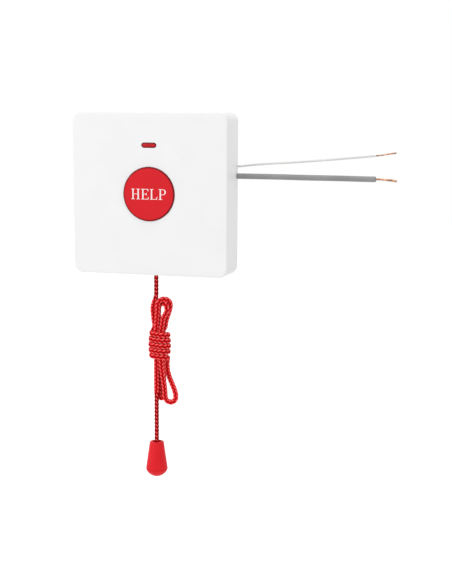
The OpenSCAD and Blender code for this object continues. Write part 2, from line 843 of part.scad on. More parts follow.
module button_spring() {
    color("silver") rotate([90, 0, 0]) tube(
        coil(
            button_spring_d, -board_y + button_wire_d / 2, -cap_in_y - button_wire_d / 2,
            button_turns, bight_rings
        ),
        button_wire_d, wound_sides
    );
}

module push_switch_body() {
    color("dimgray") difference() {
        along_y(switch_face_y, board_y) square(switch_w, center = true);
        bar_y([0, 0], plunger_d + 2 * plunger_gap, switch_face_y - over, board_y - bore_floor);
    }
}

module push_switch_legs() {
    color("silver") for (x = [-1, 1], z = [-1, 1]) {
        bar_y([x * leg_x, z * leg_z], leg_d, board_y, board_back_y + leg_out);
    }
}

module push_switch_plunger() {
    color("black") bar_y([0, 0], plunger_d, plunger_face_y, switch_face_y + plunger_sunk);
}

module terminal_block() {
    top_y = board_y - block_h;
    color("forestgreen") difference() {
        span([block_x, top_y, block_z - block_l / 2], [block_end_x, board_y, block_z + block_l / 2]);
        for (z = pole_z) {
            span(
                [block_end_x - cage_l - cage_gap, entry_y - chamber_w / 2, z - chamber_w / 2],
                [block_end_x + over, entry_y + chamber_w / 2, z + chamber_w / 2]
            );
            bar_x([entry_y, z], wire_bore_d, wire_end_x - cage_gap, block_end_x);
            bar_y(
                [block_x + block_w / 2 + cage_gap, z], clamp_screw_d + 2 * clamp_screw_gap,
                top_y - over, entry_y
            );
            bar_y([block_x + block_w / 2, z], block_pin_d + 2 * cage_gap, entry_y, board_y + over);
        }
    }
}

module terminal_screws() {
    x = block_x + block_w / 2 + cage_gap;
    color("silver") for (z = pole_z) {
        difference() {
            bar_y([x, z], clamp_screw_d, board_y - block_h + slot_depth, entry_y - wire_end_d / 2);
            span(
                [x - clamp_screw_d, board_y - block_h, z - slot_w / 2],
                [x + clamp_screw_d, board_y - block_h + 2 * slot_depth, z + slot_w / 2]
            );
        }
    }
}

module terminal_clamps() {
    color("gold") for (z = pole_z) {
        difference() {
            union() {
                span(
                    [block_end_x - cage_l, entry_y - cage_w / 2, z - cage_w / 2],
                    [block_end_x - cage_gap, entry_y + chamber_w / 2, z + cage_w / 2]
                );
                bar_y(
                    [block_x + block_w / 2, z], block_pin_d,
                    entry_y + chamber_w / 2 - slice_t, board_back_y + leg_out
                );
            }
            bar_x([entry_y, z], wire_bore_d, block_x, block_end_x + over);
            bar_y(
                [block_x + block_w / 2 + cage_gap, z], clamp_screw_d + 2 * clamp_screw_gap,
                entry_y - cage_w, entry_y
            );
        }
    }
}

module wire_ends() {
    color("peru") for (z = pole_z) {
        bar_x([entry_y, z], wire_end_d, wire_end_x, strip_x);
    }
}

// Small round part with two wire legs; its bands are left to its surface
module leaded_part(z, d) {
    y = board_y - d / 2 - part_lift;
    bar_x([y, z], d, part_x - part_l / 2, part_x + part_l / 2);
    bar_x([y, z], part_leg_d, part_x - part_leg_span / 2, part_x + part_leg_span / 2);
    for (x = [-1, 1]) {
        translate([part_x + x * part_leg_span / 2, y, z]) sphere(d = part_leg_d);
        bar_y([part_x + x * part_leg_span / 2, z], part_leg_d, y, board_back_y + part_out);
    }
}

module line_resistor() {
    color("tan") leaded_part(part_z[0], part_d);
}

module lamp_resistor() {
    color("burlywood") leaded_part(part_z[1], part_d);
}

module line_diode() {
    color("black") leaded_part(part_z[2], part_d);
}

module pull_slider() {
    x0 = ramp_x - ramp_share * ramp_below;
    x1 = ramp_x + ramp_share * ramp_above;
    color("khaki") difference() {
        union() {
            span(
                [-slider_w / 2, slider_front_y, slider_end_z],
                [slider_w / 2, slider_back_y, slider_top_z]
            );
            along_y(fin_front_y, fin_front_y + fin_t) polygon([
                [0, ramp_z - ramp_below], [x0, ramp_z - ramp_below], [x1, ramp_z + ramp_above],
                [x1, ramp_z + ramp_above + ramp_top_h], [0, ramp_z + ramp_above + ramp_top_h]
            ]);
        }
        bar_z([0, -cord_y], cord_hole_d, slider_end_z - over, slider_top_z + over);
        bar_z(
            [0, -cord_y], knot_d + 2 * knot_pocket_gap,
            upper_top_z - knot_pocket_gap, slider_top_z + over
        );
    }
}

module slider_spring() {
    color("silver") translate([0, -cord_y, 0]) tube(
        coil(
            slider_spring_d, guide_end_z + slider_wire_d / 2, slider_end_z - slider_wire_d / 2,
            slider_turns, bight_rings
        ),
        slider_wire_d, wound_sides
    );
}

module slider_keeper() {
    corner = [-keeper_side, keeper_back_y - keeper_t, guide_end_z];
    color("gainsboro") difference() {
        union() {
            span(corner, [keeper_right, keeper_back_y, keeper_top_z]);
            span(corner, [keeper_side, keeper_back_y, keeper_foot_z]);
        }
        for (p = keeper_posts) {
            bar_y(p, clear_d, keeper_back_y - keeper_t - over, keeper_back_y + over);
        }
    }
}

module keeper_screws() {
    color("silver") for (p = keeper_posts) {
        screw(p, keeper_back_y - keeper_t, keeper_t + post_h);
    }
}

// Knot with a flat where the cord enters it; way is 1 with the cord above, -1 with the cord below
module knot(z, d, way) {
    flat = knot_flat_share * d / 2;
    color("crimson") translate([0, -cord_y, z]) difference() {
        sphere(d = d);
        span([-d, -d, way > 0 ? flat : -d], [d, d, way > 0 ? d : -flat]);
    }
}

module cord_knot() {
    knot(knot_z, knot_d, -1);
}

module tip_knot() {
    knot(tip_knot_z, tip_knot_d, 1);
}

// Straight route along the cord's own line, with count rings
function plumb(z0, z1, count) = [for (i = [0 : count]) [0, -cord_y, z0 + (z1 - z0) * i / count]];

module pull_cord_upper() {
    color("crimson") tube(plumb(hank_top_z, upper_top_z, bight_rings), cord_d, cord_sides);
}

module pull_cord_hank() {
    color("crimson") tube(hank_route, cord_d, wound_sides);
}

module pull_cord_lower() {
    end_z = tip_knot_z + knot_flat_share * tip_knot_d / 2;
    color("crimson") tube(plumb(end_z, hank_end_z, run_rings), cord_d, cord_sides);
}

module tip_bell() {
    color("red") translate([0, -cord_y, 0]) difference() {
        translate([0, 0, seam_z]) cylinder(d1 = bell_seam_d, d2 = bell_top_d, h = bell_h);
        translate([0, 0, tip_top_z - mouth_h]) cylinder(d = mouth_d, h = mouth_h + over);
        translate([0, 0, cavity_top_z - over]) cylinder(d = cord_hole_d, h = neck_h + 2 * over);
        translate([0, 0, seam_z - over]) cylinder(d = cavity_d, h = cavity_top_z - seam_z + over);
    }
}

module tip_cap() {
    color("red") translate([0, -cord_y, seam_z]) {
        rotate_extrude() intersection() {
            translate([0, dome_r - dome_h]) circle(dome_r);
            translate([0, -dome_h]) square([bell_seam_d, dome_h]);
        }
        cylinder(d = cavity_d - 2 * spigot_gap, h = spigot_h);
    }
}

module micro_switch_body() {
    color("darkslategray") difference() {
        union() {
            span([micro_x, micro_y0, micro_end_z], [micro_x + micro_w, micro_y1, micro_top_z]);
            for (y = [micro_y0, micro_y1 - ear_t]) {
                bar_y(pivot, 2 * ear_r, y, y + ear_t);
                span([pivot.x, y, pivot.y - ear_r], [micro_x + ear_r, y + ear_t, pivot.y + ear_r]);
            }
        }
        bar_y(pivot, pivot_d + 2 * pivot_gap, micro_y0 - over, micro_y1 + over);
        for (z = micro_hole_z) {
            bar_y([micro_hole_x, z], clear_d, micro_y0 - over, micro_y1 + over);
        }
        span(
            [micro_x - over, micro_mid_y - push_w / 2 - push_gap, push_z - push_h / 2 - push_gap],
            [micro_x + 2 * push_sunk, micro_mid_y + push_w / 2 + push_gap, push_z + push_h / 2 + push_gap]
        );
    }
}

module micro_switch_lever() {
    reach = roll - pivot;
    side = lever_t / 2 * [-unit(reach).y, unit(reach).x];
    color("silver") {
        along_y(micro_mid_y - lever_w / 2, micro_mid_y + lever_w / 2)
            polygon([pivot + side, roll + side, roll - side, pivot - side]);
        bar_y(roll, 2 * roll_r, micro_mid_y - lever_w / 2, micro_mid_y + lever_w / 2);
        bar_y(pivot, pivot_d, micro_y0 + pivot_gap, micro_y1 - pivot_gap);
    }
}

module micro_switch_plunger() {
    color("red") span(
        [push_tip_x, micro_mid_y - push_w / 2, push_z - push_h / 2],
        [micro_x + push_sunk, micro_mid_y + push_w / 2, push_z + push_h / 2]
    );
}

module micro_switch_terminals() {
    x = micro_x + micro_w;
    color("gold") for (z = tab_z) {
        span(
            [x, micro_mid_y - tab_y / 2, z - tab_w / 2],
            [x + tab_l, micro_mid_y + tab_y / 2, z + tab_w / 2]
        );
    }
}

module micro_switch_screws() {
    color("silver") for (z = micro_hole_z) {
        screw([micro_hole_x, z], micro_y0, micro_t + post_h / 2);
    }
}

module switch_lead_common() {
    color("darkred") tube(moved(common_route, [0, 0, slider_top_z]), lead_d, cord_sides);
}

module switch_lead_open() {
    color("navy") tube(moved(open_route, [0, 0, slider_top_z]), lead_d, cord_sides);
}

module wire_clamp() {
    color("gainsboro") difference() {
        span([clamp_x, clamp_front_y, clamp_z[0]], [clamp_x + clamp_w, base_y, clamp_z[1]]);
        clamp_groove(grey_clamp_y, pole_z[0], grey_d);
        clamp_groove(white_clamp_y, pole_z[1], white_d);
        for (z = [clamp_z[0] + clamp_screw_in, clamp_z[1] - clamp_screw_in]) {
            bar_y([clamp_x + clamp_w / 2, z], clear_d, clamp_front_y - over, base_y + over);
        }
    }
}

// Groove in the clamp for a wire of diameter d
module clamp_groove(y, z, d) {
    w = d + 2 * clamp_groove_gap;
    bar_x([y, z], w, clamp_x - over, clamp_x + clamp_w + over);
    span([clamp_x - over, y, z - w / 2], [clamp_x + clamp_w + over, base_y + over, z + w / 2]);
}

module clamp_screws() {
    color("silver") for (z = [clamp_z[0] + clamp_screw_in, clamp_z[1] - clamp_screw_in]) {
        screw([clamp_x + clamp_w / 2, z], clamp_front_y, base_y - clamp_front_y + clamp_screw_depth);
    }
}

// Route of a wire inside, from the terminal block over the clamp's depth to the outlet
function inner_route(z, mid_y) = concat(
    [for (p = lead_shares) [strip_x + (clamp_x - strip_x) * p.x, entry_y + (mid_y - entry_y) * p.y, z]],
    [for (p = exit_shares) [half_w - clamp_in * p.x, outlet_y + (mid_y - outlet_y) * p.y, z]]
);

module grey_cable_lead() {
    color("gray") tube(inner_route(pole_z[0], grey_clamp_y), grey_d, cord_sides);
}

module white_wire_lead() {
    color("white") tube(inner_route(pole_z[1], white_clamp_y), white_d, cord_sides);
}

grey_exit = [half_w, outlet_y, pole_z[0]];
white_exit = [half_w, outlet_y, pole_z[1]];
grey_tip = grey_exit + grey_route[len(grey_route) - 1];
white_tip = white_exit + white_route[len(white_route) - 1];

module grey_cable() {
    color("gray") tube(moved(grey_route, grey_exit), grey_d, cord_sides);
}

module white_wire() {
    color("white") tube(moved(white_route, white_exit), white_d, cord_sides);
}

module grey_cable_core() {
    color("peru") tube(moved(grey_core_route, grey_tip), grey_core_d, cord_sides);
}

module white_wire_core() {
    color("peru") tube(moved(white_core_route, white_tip), white_core_d, cord_sides);
}

front_cover();
rear_base();
cord_bush();
lamp_window();
signal_lamp();
circuit_board();
board_screws();
call_button();
button_spring();
push_switch_body();
push_switch_legs();
push_switch_plunger();
terminal_block();
terminal_screws();
terminal_clamps();
wire_ends();
line_resistor();
lamp_resistor();
line_diode();
pull_slider();
slider_spring();
slider_keeper();
keeper_screws();
cord_knot();
pull_cord_upper();
pull_cord_hank();
pull_cord_lower();
tip_bell();
tip_cap();
tip_knot();
micro_switch_body();
micro_switch_lever();
micro_switch_plunger();
micro_switch_terminals();
micro_switch_screws();
switch_lead_common();
switch_lead_open();
wire_clamp();
clamp_screws();
grey_cable_lead();
white_wire_lead();
grey_cable();
white_wire();
grey_cable_core();
white_wire_core();
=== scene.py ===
# %% [markdown]
# # A wired panic button, dressed for its portrait
# The real object is a square white wall unit with a round red call button, a small red lamp
# window, a red pull cord tied up in a hank, and two wires that leave on the right. The CAD
# model gives every place and size. This lesson puts finished surfaces on it, one piece a cell.

# %% Load the frame
import math

import bmesh
import bpy
import numpy as np
from mathutils import Matrix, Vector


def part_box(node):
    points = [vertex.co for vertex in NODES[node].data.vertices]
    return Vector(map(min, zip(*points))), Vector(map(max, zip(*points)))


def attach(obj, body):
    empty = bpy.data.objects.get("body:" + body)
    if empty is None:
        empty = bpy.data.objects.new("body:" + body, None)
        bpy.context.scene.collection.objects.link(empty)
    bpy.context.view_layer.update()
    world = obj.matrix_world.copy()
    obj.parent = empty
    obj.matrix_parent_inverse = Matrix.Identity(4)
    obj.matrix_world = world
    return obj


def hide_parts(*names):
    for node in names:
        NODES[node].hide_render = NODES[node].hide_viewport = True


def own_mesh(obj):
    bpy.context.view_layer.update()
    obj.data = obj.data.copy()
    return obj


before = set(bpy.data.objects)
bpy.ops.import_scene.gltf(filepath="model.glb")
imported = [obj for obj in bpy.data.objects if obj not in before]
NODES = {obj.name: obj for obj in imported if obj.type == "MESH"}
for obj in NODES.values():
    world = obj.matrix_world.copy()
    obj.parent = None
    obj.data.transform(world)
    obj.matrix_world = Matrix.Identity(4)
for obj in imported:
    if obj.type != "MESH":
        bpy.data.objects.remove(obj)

scene = bpy.context.scene
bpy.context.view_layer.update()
MM = 0.001

# %% [markdown]
# ## The camera
# The photograph is a product shot from slightly above and to the right. Its view was found by
# fitting a pinhole camera to the cover's corners, so the numbers are angles, a distance in
# millimetres and a focal length in pixels. Blender wants the lens in millimetres on a sensor
# that spans the long side of the picture.

# %% Camera
VIEW_AZIMUTH = math.radians(16.561)
VIEW_ELEVATION = math.radians(8.437)
VIEW_ROLL = math.radians(0.267)
VIEW_DISTANCE = 690.967
VIEW_TARGET = (35.133, -54.689)
FOCAL_PIXELS, LONG_SIDE_PIXELS = 1261.509, 584
SENSOR_MM = 36.0
LENS_MM = FOCAL_PIXELS * SENSOR_MM / LONG_SIDE_PIXELS
NEAREST, FARTHEST = 0.05, 20.0


def camera_axes(azimuth, elevation, roll):
    """The level direction, and the camera's columns right, up and back. Back points from the
    target to the camera, right is level turned by the roll, and up is square to both."""
    back = np.array([
        math.sin(azimuth) * math.cos(elevation),
        -math.cos(azimuth) * math.cos(elevation),
        math.sin(elevation),
    ])
    level = np.array([math.cos(azimuth), math.sin(azimuth), 0.0])
    upright = np.cross(back, level)
    right = math.cos(roll) * level + math.sin(roll) * upright
    up = math.cos(roll) * upright - math.sin(roll) * level
    return level, right, up, back


def make_camera():
    """Camera at target + back * distance, with the axes as the columns of its matrix."""
    level, right, up, back = camera_axes(VIEW_AZIMUTH, VIEW_ELEVATION, VIEW_ROLL)
    target = level * VIEW_TARGET[0] + np.array([0.0, 0.0, VIEW_TARGET[1]])
    stand = np.eye(4)
    stand[:3, 0], stand[:3, 1], stand[:3, 2] = right, up, back
    stand[:3, 3] = (target + back * VIEW_DISTANCE) * MM
    data = bpy.data.cameras.new("portrait_camera")
    data.lens, data.sensor_width = LENS_MM, SENSOR_MM
    data.clip_start, data.clip_end = NEAREST, FARTHEST
    camera = bpy.data.objects.new("portrait_camera", data)
    scene.collection.objects.link(camera)
    camera.matrix_world = Matrix(stand.tolist())
    scene.camera = camera
    return camera


print("camera at", [round(x / MM, 1) for x in make_camera().location])

# %% [markdown]
# ## Surfaces as arrays
# Every new piece is a grid of points worked out by a formula. One function turns such a grid
# into a mesh. It could join the seam by counting, but merging the points that fall on each
# other closes seams and poles alike, and keeps the UV map, which needs its seam open.


# %% From a grid to a mesh
def grid_faces(rows, columns):
    """Corners of all the quads of a grid whose points are numbered row by row."""
    index = np.arange(rows * columns).reshape(rows, columns)
    corners = [index[:-1, :-1], index[1:, :-1], index[1:, 1:], index[:-1, 1:]]
    return np.stack(corners, axis=-1).reshape(-1, 4)


def tidy_mesh(mesh):
    """Merges points that fall on each other and turns all faces outwards."""
    merge_distance = 2e-7
    work = bmesh.new()
    work.from_mesh(mesh)
    bmesh.ops.remove_doubles(work, verts=work.verts, dist=merge_distance)
    bmesh.ops.recalc_face_normals(work, faces=work.faces)
    work.to_mesh(mesh)
    work.free()


def surface(name, grids, relief=None, thread=None, sharp=40.0):
    """Closed mesh from one or more grids of points in mm. The UV map counts the rows and the
    columns as shares of 1. Points on each other are merged, and the faces are turned outwards.
    Edges that bend by more than `sharp` degrees stay sharp."""
    points, faces, uvs, first = [], [], [], 0
    for grid in grids:
        rows, columns = grid.shape[:2]
        share = np.meshgrid(np.linspace(0, 1, rows), np.linspace(0, 1, columns), indexing="ij")
        points.append(grid.reshape(-1, 3))
        uvs.append(np.stack(share, axis=-1).reshape(-1, 2))
        faces.append(grid_faces(rows, columns) + first)
        first += rows * columns
    points, faces, uvs = np.concatenate(points), np.concatenate(faces), np.concatenate(uvs)
    mesh = bpy.data.meshes.new(name)
    mesh.vertices.add(len(points))
    mesh.vertices.foreach_set("co", (points * MM).astype(np.float32).ravel())
    mesh.loops.add(faces.size)
    mesh.loops.foreach_set("vertex_index", faces.astype(np.int32).ravel())
    mesh.polygons.add(len(faces))
    mesh.polygons.foreach_set("loop_start", np.arange(0, faces.size, 4, dtype=np.int32))
    mesh.update(calc_edges=True)
    layer = mesh.uv_layers.new(name="UVMap")
    layer.data.foreach_set("uv", uvs[faces.ravel()].astype(np.float32).ravel())
    for label, values in (("relief", relief), ("thread", thread)):
        if values is not None:
            attribute = mesh.attributes.new(label, "FLOAT", "POINT")
            attribute.data.foreach_set("value", values.astype(np.float32).ravel())
    tidy_mesh(mesh)
    mesh.shade_smooth()
    mesh.set_sharp_from_angle(angle=math.radians(sharp))
    piece = bpy.data.objects.new(name, mesh)
    scene.collection.objects.link(piece)
    print(name, "has", len(mesh.polygons), "faces")
    return piece


def place(piece, body, slot, material, *nodes):
    """Gives the piece its finish and its body, and hides the CAD nodes that it stands for. The
    slot is not used.
    """
    piece.data.materials.clear()
    piece.data.materials.append(material)
    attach(piece, body)
    if nodes:
        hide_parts(*nodes)


# %% [markdown]
# ## Profiles and turning
# Moulded plastic has no knife edges. A profile is listed by its corners, and each corner gets a
# small radius, which catches the light as on the real part.

# %% Rounded profiles
ARC_STEPS = 6
SAME_POINT, NO_LENGTH = 1e-5, 1e-12


def unit(v):
    """Vectors at length 1 along the last axis."""
    return v / np.maximum(np.linalg.norm(v, axis=-1, keepdims=True), NO_LENGTH)


def rounded(corners, closed=True):
    """Polyline through corners (x, y, radius). Each corner is replaced by a quadratic curve that
    starts one radius before it and ends one radius after it."""
    corner = np.array(corners, float)
    point, radius = corner[:, :2], corner[:, 2:3]
    before, after = np.roll(point, 1, axis=0), np.roll(point, -1, axis=0)
    into = point + unit(before - point) * radius
    out = point + unit(after - point) * radius
    t = np.linspace(0, 1, ARC_STEPS)[None, :, None]
    curve = (1 - t) ** 2 * into[:, None] + 2 * t * (1 - t) * point[:, None] + t ** 2 * out[:, None]
    if not closed:
        curve[0], curve[-1] = point[0], point[-1]
    line = curve.reshape(-1, 2)
    stride = np.linalg.norm(np.diff(line, axis=0, prepend=line[:1] - 1), axis=1)
    line = line[stride > SAME_POINT]
    return np.vstack([line, line[:1]]) if closed else line


def laid_on(axis, a, b, h):
    """Points (x, y, z) from a and b across the axis and h along it."""
    return np.stack({"z": (a, b, h), "y": (a, h, b)}[axis], axis=-1)


def turned(profile, axis="z", centre=(0, 0, 0), sides=96):
    """Grid of a profile (radius, height) turned round an axis: r cos t and r sin t across it."""
    angle = np.linspace(0, 2 * math.pi, sides + 1)[None, :]
    r, h = profile[:, 0:1], profile[:, 1:2] + 0 * angle
    return laid_on(axis, r * np.cos(angle), r * np.sin(angle), h) + np.array(centre, float)


# %% [markdown]
# ## Tubes along a route
# A cord, a wire and a spring are all tubes. The ring at each station needs two directions across
# the route. Here a reference direction is given for each station, and its part square to the
# route is used. That needs no walk from ring to ring, and it also says how the cord is twisted.

# %% Tubes
END_STEPS = 5


def run_length(route):
    """Distance along the route at each of its stations."""
    return np.concatenate([[0], np.cumsum(np.linalg.norm(np.diff(route, axis=0), axis=1))])


def resampled(route, step):
    """The same polyline with stations spaced evenly, about one step apart."""
    length = run_length(route)
    stations = np.linspace(0, length[-1], int(round(length[-1] / step)) + 1)
    return np.stack([np.interp(stations, length, route[:, k]) for k in range(3)], axis=1)


def softened(route, reach):
    """Each station moved to the mean of its neighbours within reach; the two ends stay."""
    kernel = np.hanning(2 * reach + 3)[1:-1]
    kernel /= kernel.sum()
    padded = np.vstack([
        2 * route[0] - route[reach:0:-1], route, 2 * route[-1] - route[-2:-reach - 2:-1]
    ])
    return np.stack([np.convolve(padded[:, k], kernel, "valid") for k in range(3)], axis=1)


def tube(route, radius, reference, sides=16, round_ends=0.0):
    """Grid of a tube: centre + r (cos a * n + sin a * b), where n is the reference made square to
    the route and b is across both. Radius may be a number, one per station, or one per point.
    Both ends are closed by rings that shrink to the centre."""
    travel = unit(np.gradient(route, axis=0))
    reference = np.broadcast_to(np.array(reference, float), route.shape)
    n = unit(reference - np.sum(reference * travel, axis=1, keepdims=True) * travel)
    b = np.cross(travel, n)
    angle = np.linspace(0, 2 * math.pi, sides + 1)
    r = np.array(radius, float)
    r = r[:, None] if r.ndim == 1 else r
    r = np.broadcast_to(r, (len(route), sides + 1))[..., None]
    spoke = np.cos(angle)[None, :, None] * n[:, None] + np.sin(angle)[None, :, None] * b[:, None]
    rings = route[:, None] + r * spoke
    start = end = rings[:0]
    if round_ends:
        tilt = np.linspace(0, math.pi / 2, END_STEPS)[1:-1, None, None]
        start = route[0] - round_ends * np.sin(tilt) * travel[0] + r[0] * np.cos(tilt) * spoke[0]
        end = route[-1] + round_ends * np.sin(tilt) * travel[-1] + r[-1] * np.cos(tilt) * spoke[-1]
    tips = [route[0] - round_ends * travel[0], route[-1] + round_ends * travel[-1]]
    poles = [np.broadcast_to(tip, (1, sides + 1, 3)) for tip in tips]
    return np.concatenate([poles[0], start[::-1], rings, end, poles[1]])


# %% [markdown]
# ## Colours and nodes
# Colours are written as they look on a screen, in sRGB hex, and one function makes them linear,
# which is what a shader needs. One more function adds a node with its settings and its links.
# Two patterns are used by many finishes: soft patches of a real size, and layers of colour.


# %% Colour and node helpers
def srgb(code):
    """Linear colour of a hex code: c / 12.92 in the dark, ((c + 0.055) / 1.055) ^ 2.4 above."""
    c = np.array([int(code[i:i + 2], 16) for i in (1, 3, 5)]) / 255
    linear = np.where(c <= 0.04045, c / 12.92, ((c + 0.055) / 1.055) ** 2.4)
    return (*linear.tolist(), 1.0)


def add(tree, kind, inputs=None, out=0, **settings):
    """Adds a node and returns its output socket `out`. Settings are its properties; an input
    that is given a socket is linked to it, and one that is given a number or a colour holds it."""
    node = tree.nodes.new(kind)
    for label, value in settings.items():
        setattr(node, label, value)
    for label, value in (inputs or {}).items():
        if isinstance(value, bpy.types.NodeSocket):
            tree.links.new(value, node.inputs[label])
        else:
            node.inputs[label].default_value = value
    return node.outputs[out]


def new_material(name, **sockets):
    """A material with one Principled shader. Keywords name its sockets with _ for a space."""
    material = bpy.data.materials.new(name)
    material.use_nodes = True
    shader = material.node_tree.nodes["Principled BSDF"]
    for label, value in sockets.items():
        shader.inputs[label.replace("_", " ")].default_value = value
    return material, material.node_tree, shader


def drive(shader, **sockets):
    """Links output sockets to the shader's inputs, which are named with _ for a space."""
    for label, socket in sockets.items():
        shader.id_data.links.new(socket, shader.inputs[label.replace("_", " ")])


def noise(tree, size_mm, detail=2.0, stretch=(1, 1, 1)):
    """Factor socket of a noise on Object coordinates whose blobs are about size_mm across."""
    position = add(tree, "ShaderNodeTexCoord", out="Object")
    scaled = add(tree, "ShaderNodeMapping", {"Vector": position, "Scale": stretch})
    inputs = {"Vector": scaled, "Scale": 1 / (size_mm * MM), "Detail": detail}
    return add(tree, "ShaderNodeTexNoise", inputs, "Fac")


def patches(tree, size_mm, low=0.3, high=0.7, least=0.0, most=1.0, detail=2.0):
    """Soft patches about size_mm across: noise from low to high becomes least to most."""
    return add(tree, "ShaderNodeMapRange", {
        "Value": noise(tree, size_mm, detail), "From Min": low, "From Max": high,
        "To Min": least, "To Max": most})


def layered(tree, colour, *layers):
    """Colour socket of a first colour with each layer (share, colour) over it in turn. A colour
    is a hex code or a socket. Mix has its factor at input 0, its colours at 6 and 7, and the
    mixed colour at output 2."""
    for share, over in layers:
        below, above = (srgb(c) if isinstance(c, str) else c for c in (colour, over))
        colour = add(tree, "ShaderNodeMix", {0: share, 6: below, 7: above}, 2, data_type="RGBA")
    return colour


def relief_of(tree, height, depth_mm):
    """Normal socket for a height socket, depth_mm deep where the height is 1."""
    inputs = {"Height": height, "Distance": depth_mm * MM, "Strength": 1.0}
    return add(tree, "ShaderNodeBump", inputs, "Normal")


# %% [markdown]
# ## Moulded plastics
# The cover is ABS from a mould with a fine spark-eroded texture. To the eye that is a satin
# white with a very slight orange peel and a soft highlight. The real grit is about 0.05 mm and
# would not show in the render, so it is drawn at 0.25 mm. The other mouldings use the same
# recipe with their own colours, because they differ in pigment and polish only.

# %% Plastic materials
DRIFT_MM, POLISH_MM, GRIT_DEPTH_MM = 12, 2, 0.004
POLISH_RANGE = 0.04


def moulded(name, colour, shade, rough, grit_mm=0.25, level=0.5):
    """Moulded plastic: a colour that drifts to its shade, roughness that varies more finely, and
    the grit of the mould as bump. IOR 1.5 suits ABS and polypropylene; the specular level is
    lowered where the texture of the mould scatters the highlight."""
    material, tree, shader = new_material(
        name, IOR=1.5, Roughness=rough, Specular_IOR_Level=level)
    base = layered(tree, colour, (patches(tree, DRIFT_MM, detail=1.0), shade))
    polish = patches(tree, POLISH_MM, least=rough - POLISH_RANGE, most=rough + POLISH_RANGE)
    grit = relief_of(tree, noise(tree, grit_mm, detail=3.0), GRIT_DEPTH_MM)
    drive(shader, Base_Color=base, Roughness=polish, Normal=grit)
    return material


COVER_WHITE = moulded("abs_white_satin", "#f3f3f3", "#f1f1f1", 0.42)
BASE_WHITE = moulded("abs_offwhite_matt", "#e6e6e3", "#e4e4e0", 0.55)
BUSH_WHITE = moulded("nylon_white", "#ececea", "#e4e4e0", 0.35)
TIP_RED = moulded("polypropylene_red", "#e6202a", "#de1b25", 0.4, grit_mm=0.5, level=0.15)
SWITCH_BLACK = moulded("nylon_black", "#1b1b1d", "#232326", 0.5)
TERMINAL_GREEN = moulded("polyamide_green", "#1f7a3c", "#1a6c34", 0.45)
SLIDER_IVORY = moulded("acetal_natural", "#ece8da", "#e4dfce", 0.3)
PLUNGER_RED = moulded("nylon_red", "#b8202a", "#a81b25", 0.4)

# %% [markdown]
# ## Metals
# Screws are zinc plated steel, springs are drawn wire, and the clamps are brass. A metal has
# Metallic 1 and its own colour for reflections; what tells them apart is the grain: fine streaks
# on drawn wire, and a blotchy bloom on plating.


# %% Metal materials
def metal(name, colour, tarnish, rough, streak=(1, 1, 1), grain_mm=0.4):
    """Bare or plated metal. The grain is stretched where the metal was drawn. It tarnishes the
    colour, roughens the polish and stands a few thousandths of a millimetre high."""
    material, tree, shader = new_material(name, Metallic=1.0, Roughness=rough)
    grain = noise(tree, grain_mm, detail=4.0, stretch=streak)
    bloom = add(tree, "ShaderNodeMapRange", {"Value": grain, "From Min": 0.35, "From Max": 0.75})
    polish = add(tree, "ShaderNodeMapRange", {
        "Value": grain, "From Min": 0.3, "From Max": 0.7,
        "To Min": rough - 0.06, "To Max": rough + 0.1})
    drive(shader, Base_Color=layered(tree, colour, (bloom, tarnish)), Roughness=polish,
          Normal=relief_of(tree, grain, 0.003))
    return material


ZINC = metal("zinc_plated_steel", "#c9ccd0", "#a9adb2", 0.3)
SPRING_STEEL = metal("drawn_spring_steel", "#b4b6ba", "#8b8e93", 0.28, streak=(1, 1, 4))
BRASS = metal("nickel_brass", "#d3b676", "#b0904c", 0.3)
COPPER = metal("bare_copper", "#eab592", "#5e3826", 0.25, grain_mm=2.2)

# %% [markdown]
# ## The route of the pull cord
# The cord leaves the slider, passes the bush and is made up in a hank. It swings out, goes four
# and a half times round the waist, down to the long open loop, up through the waist, round the
# inner eye, down to the tight end, up once more, over the outer eye and straight down to the
# tip. It is a soft thing with a fixed length, so the route comes first and the surface is laid
# on it. The places are those of the CAD source, in millimetres, loosened a little here and
# there, as a soft cord would lie.

# %% Places on the cord
# Four strands pass the waist, one step apart, in a front layer and a back layer.
CORD_Y, STEP = -9.0, 2.77
BACK_Y = CORD_Y + STEP
CORD_TOP, CORD_END = -21.7, -143.8
WAIST = (STEP / 2, CORD_Y + STEP / 2)
WAIST_TOP, WAIST_END = -75.3, -91.3
# The way down to the waist: a straight stub, then a swing to the left and the back.
HANK_TOP, HANK_STUB = -53.5, 0.8
SWING, SWING_END = (-3.05, -5.9, -63.5), (-2.7, -5.4, -69.5)
# The eyes and the lower ends are half turns about (x, z, radius). In an eye the cord changes
# its layer between two shares of the half turn. Above the waist the strands spread a little.
INNER_EYE, OUTER_EYE = (3.25, -62.85, 2.95), (3.95, -60.55, 3.1)
OPEN_END, TIGHT_END = (8.0, -110.9, 3.1), (2.0, -111.25, 1.45)
INNER_SHIFT, OUTER_SHIFT = (0.1, 0.65), (0.0, 0.9)
GATHER, FAN = (STEP + 0.9, CORD_Y, -69.0), (STEP + 1.4, BACK_Y, -72.4)
# The wrap: its outline |x|^p + |y|^p = R^p, how tight it is drawn, and the bends at its ends.
TURNS, PITCH, WRAP_START, WRAP_POWER = 4.5, 3.05, -75.7, 3
WRAP_DRAWN_IN, WRAP_LOOSE = 0.28, 0.6
WRAP_R = (STEP / math.sqrt(2) + STEP) / 2 ** (1 / 2 - 1 / WRAP_POWER)
LEAD_ANGLE, BEND_ANGLE, BEND = -12.0, 45.0, 3.7
SAMPLES, WRAP_SAMPLES = 40, 96


# %% Parts of the route
def gently(k):
    """Share of the way that starts and ends gently: 3 k^2 - 2 k^3."""
    k = np.clip(k, 0, 1)
    return k * k * (3 - 2 * k)


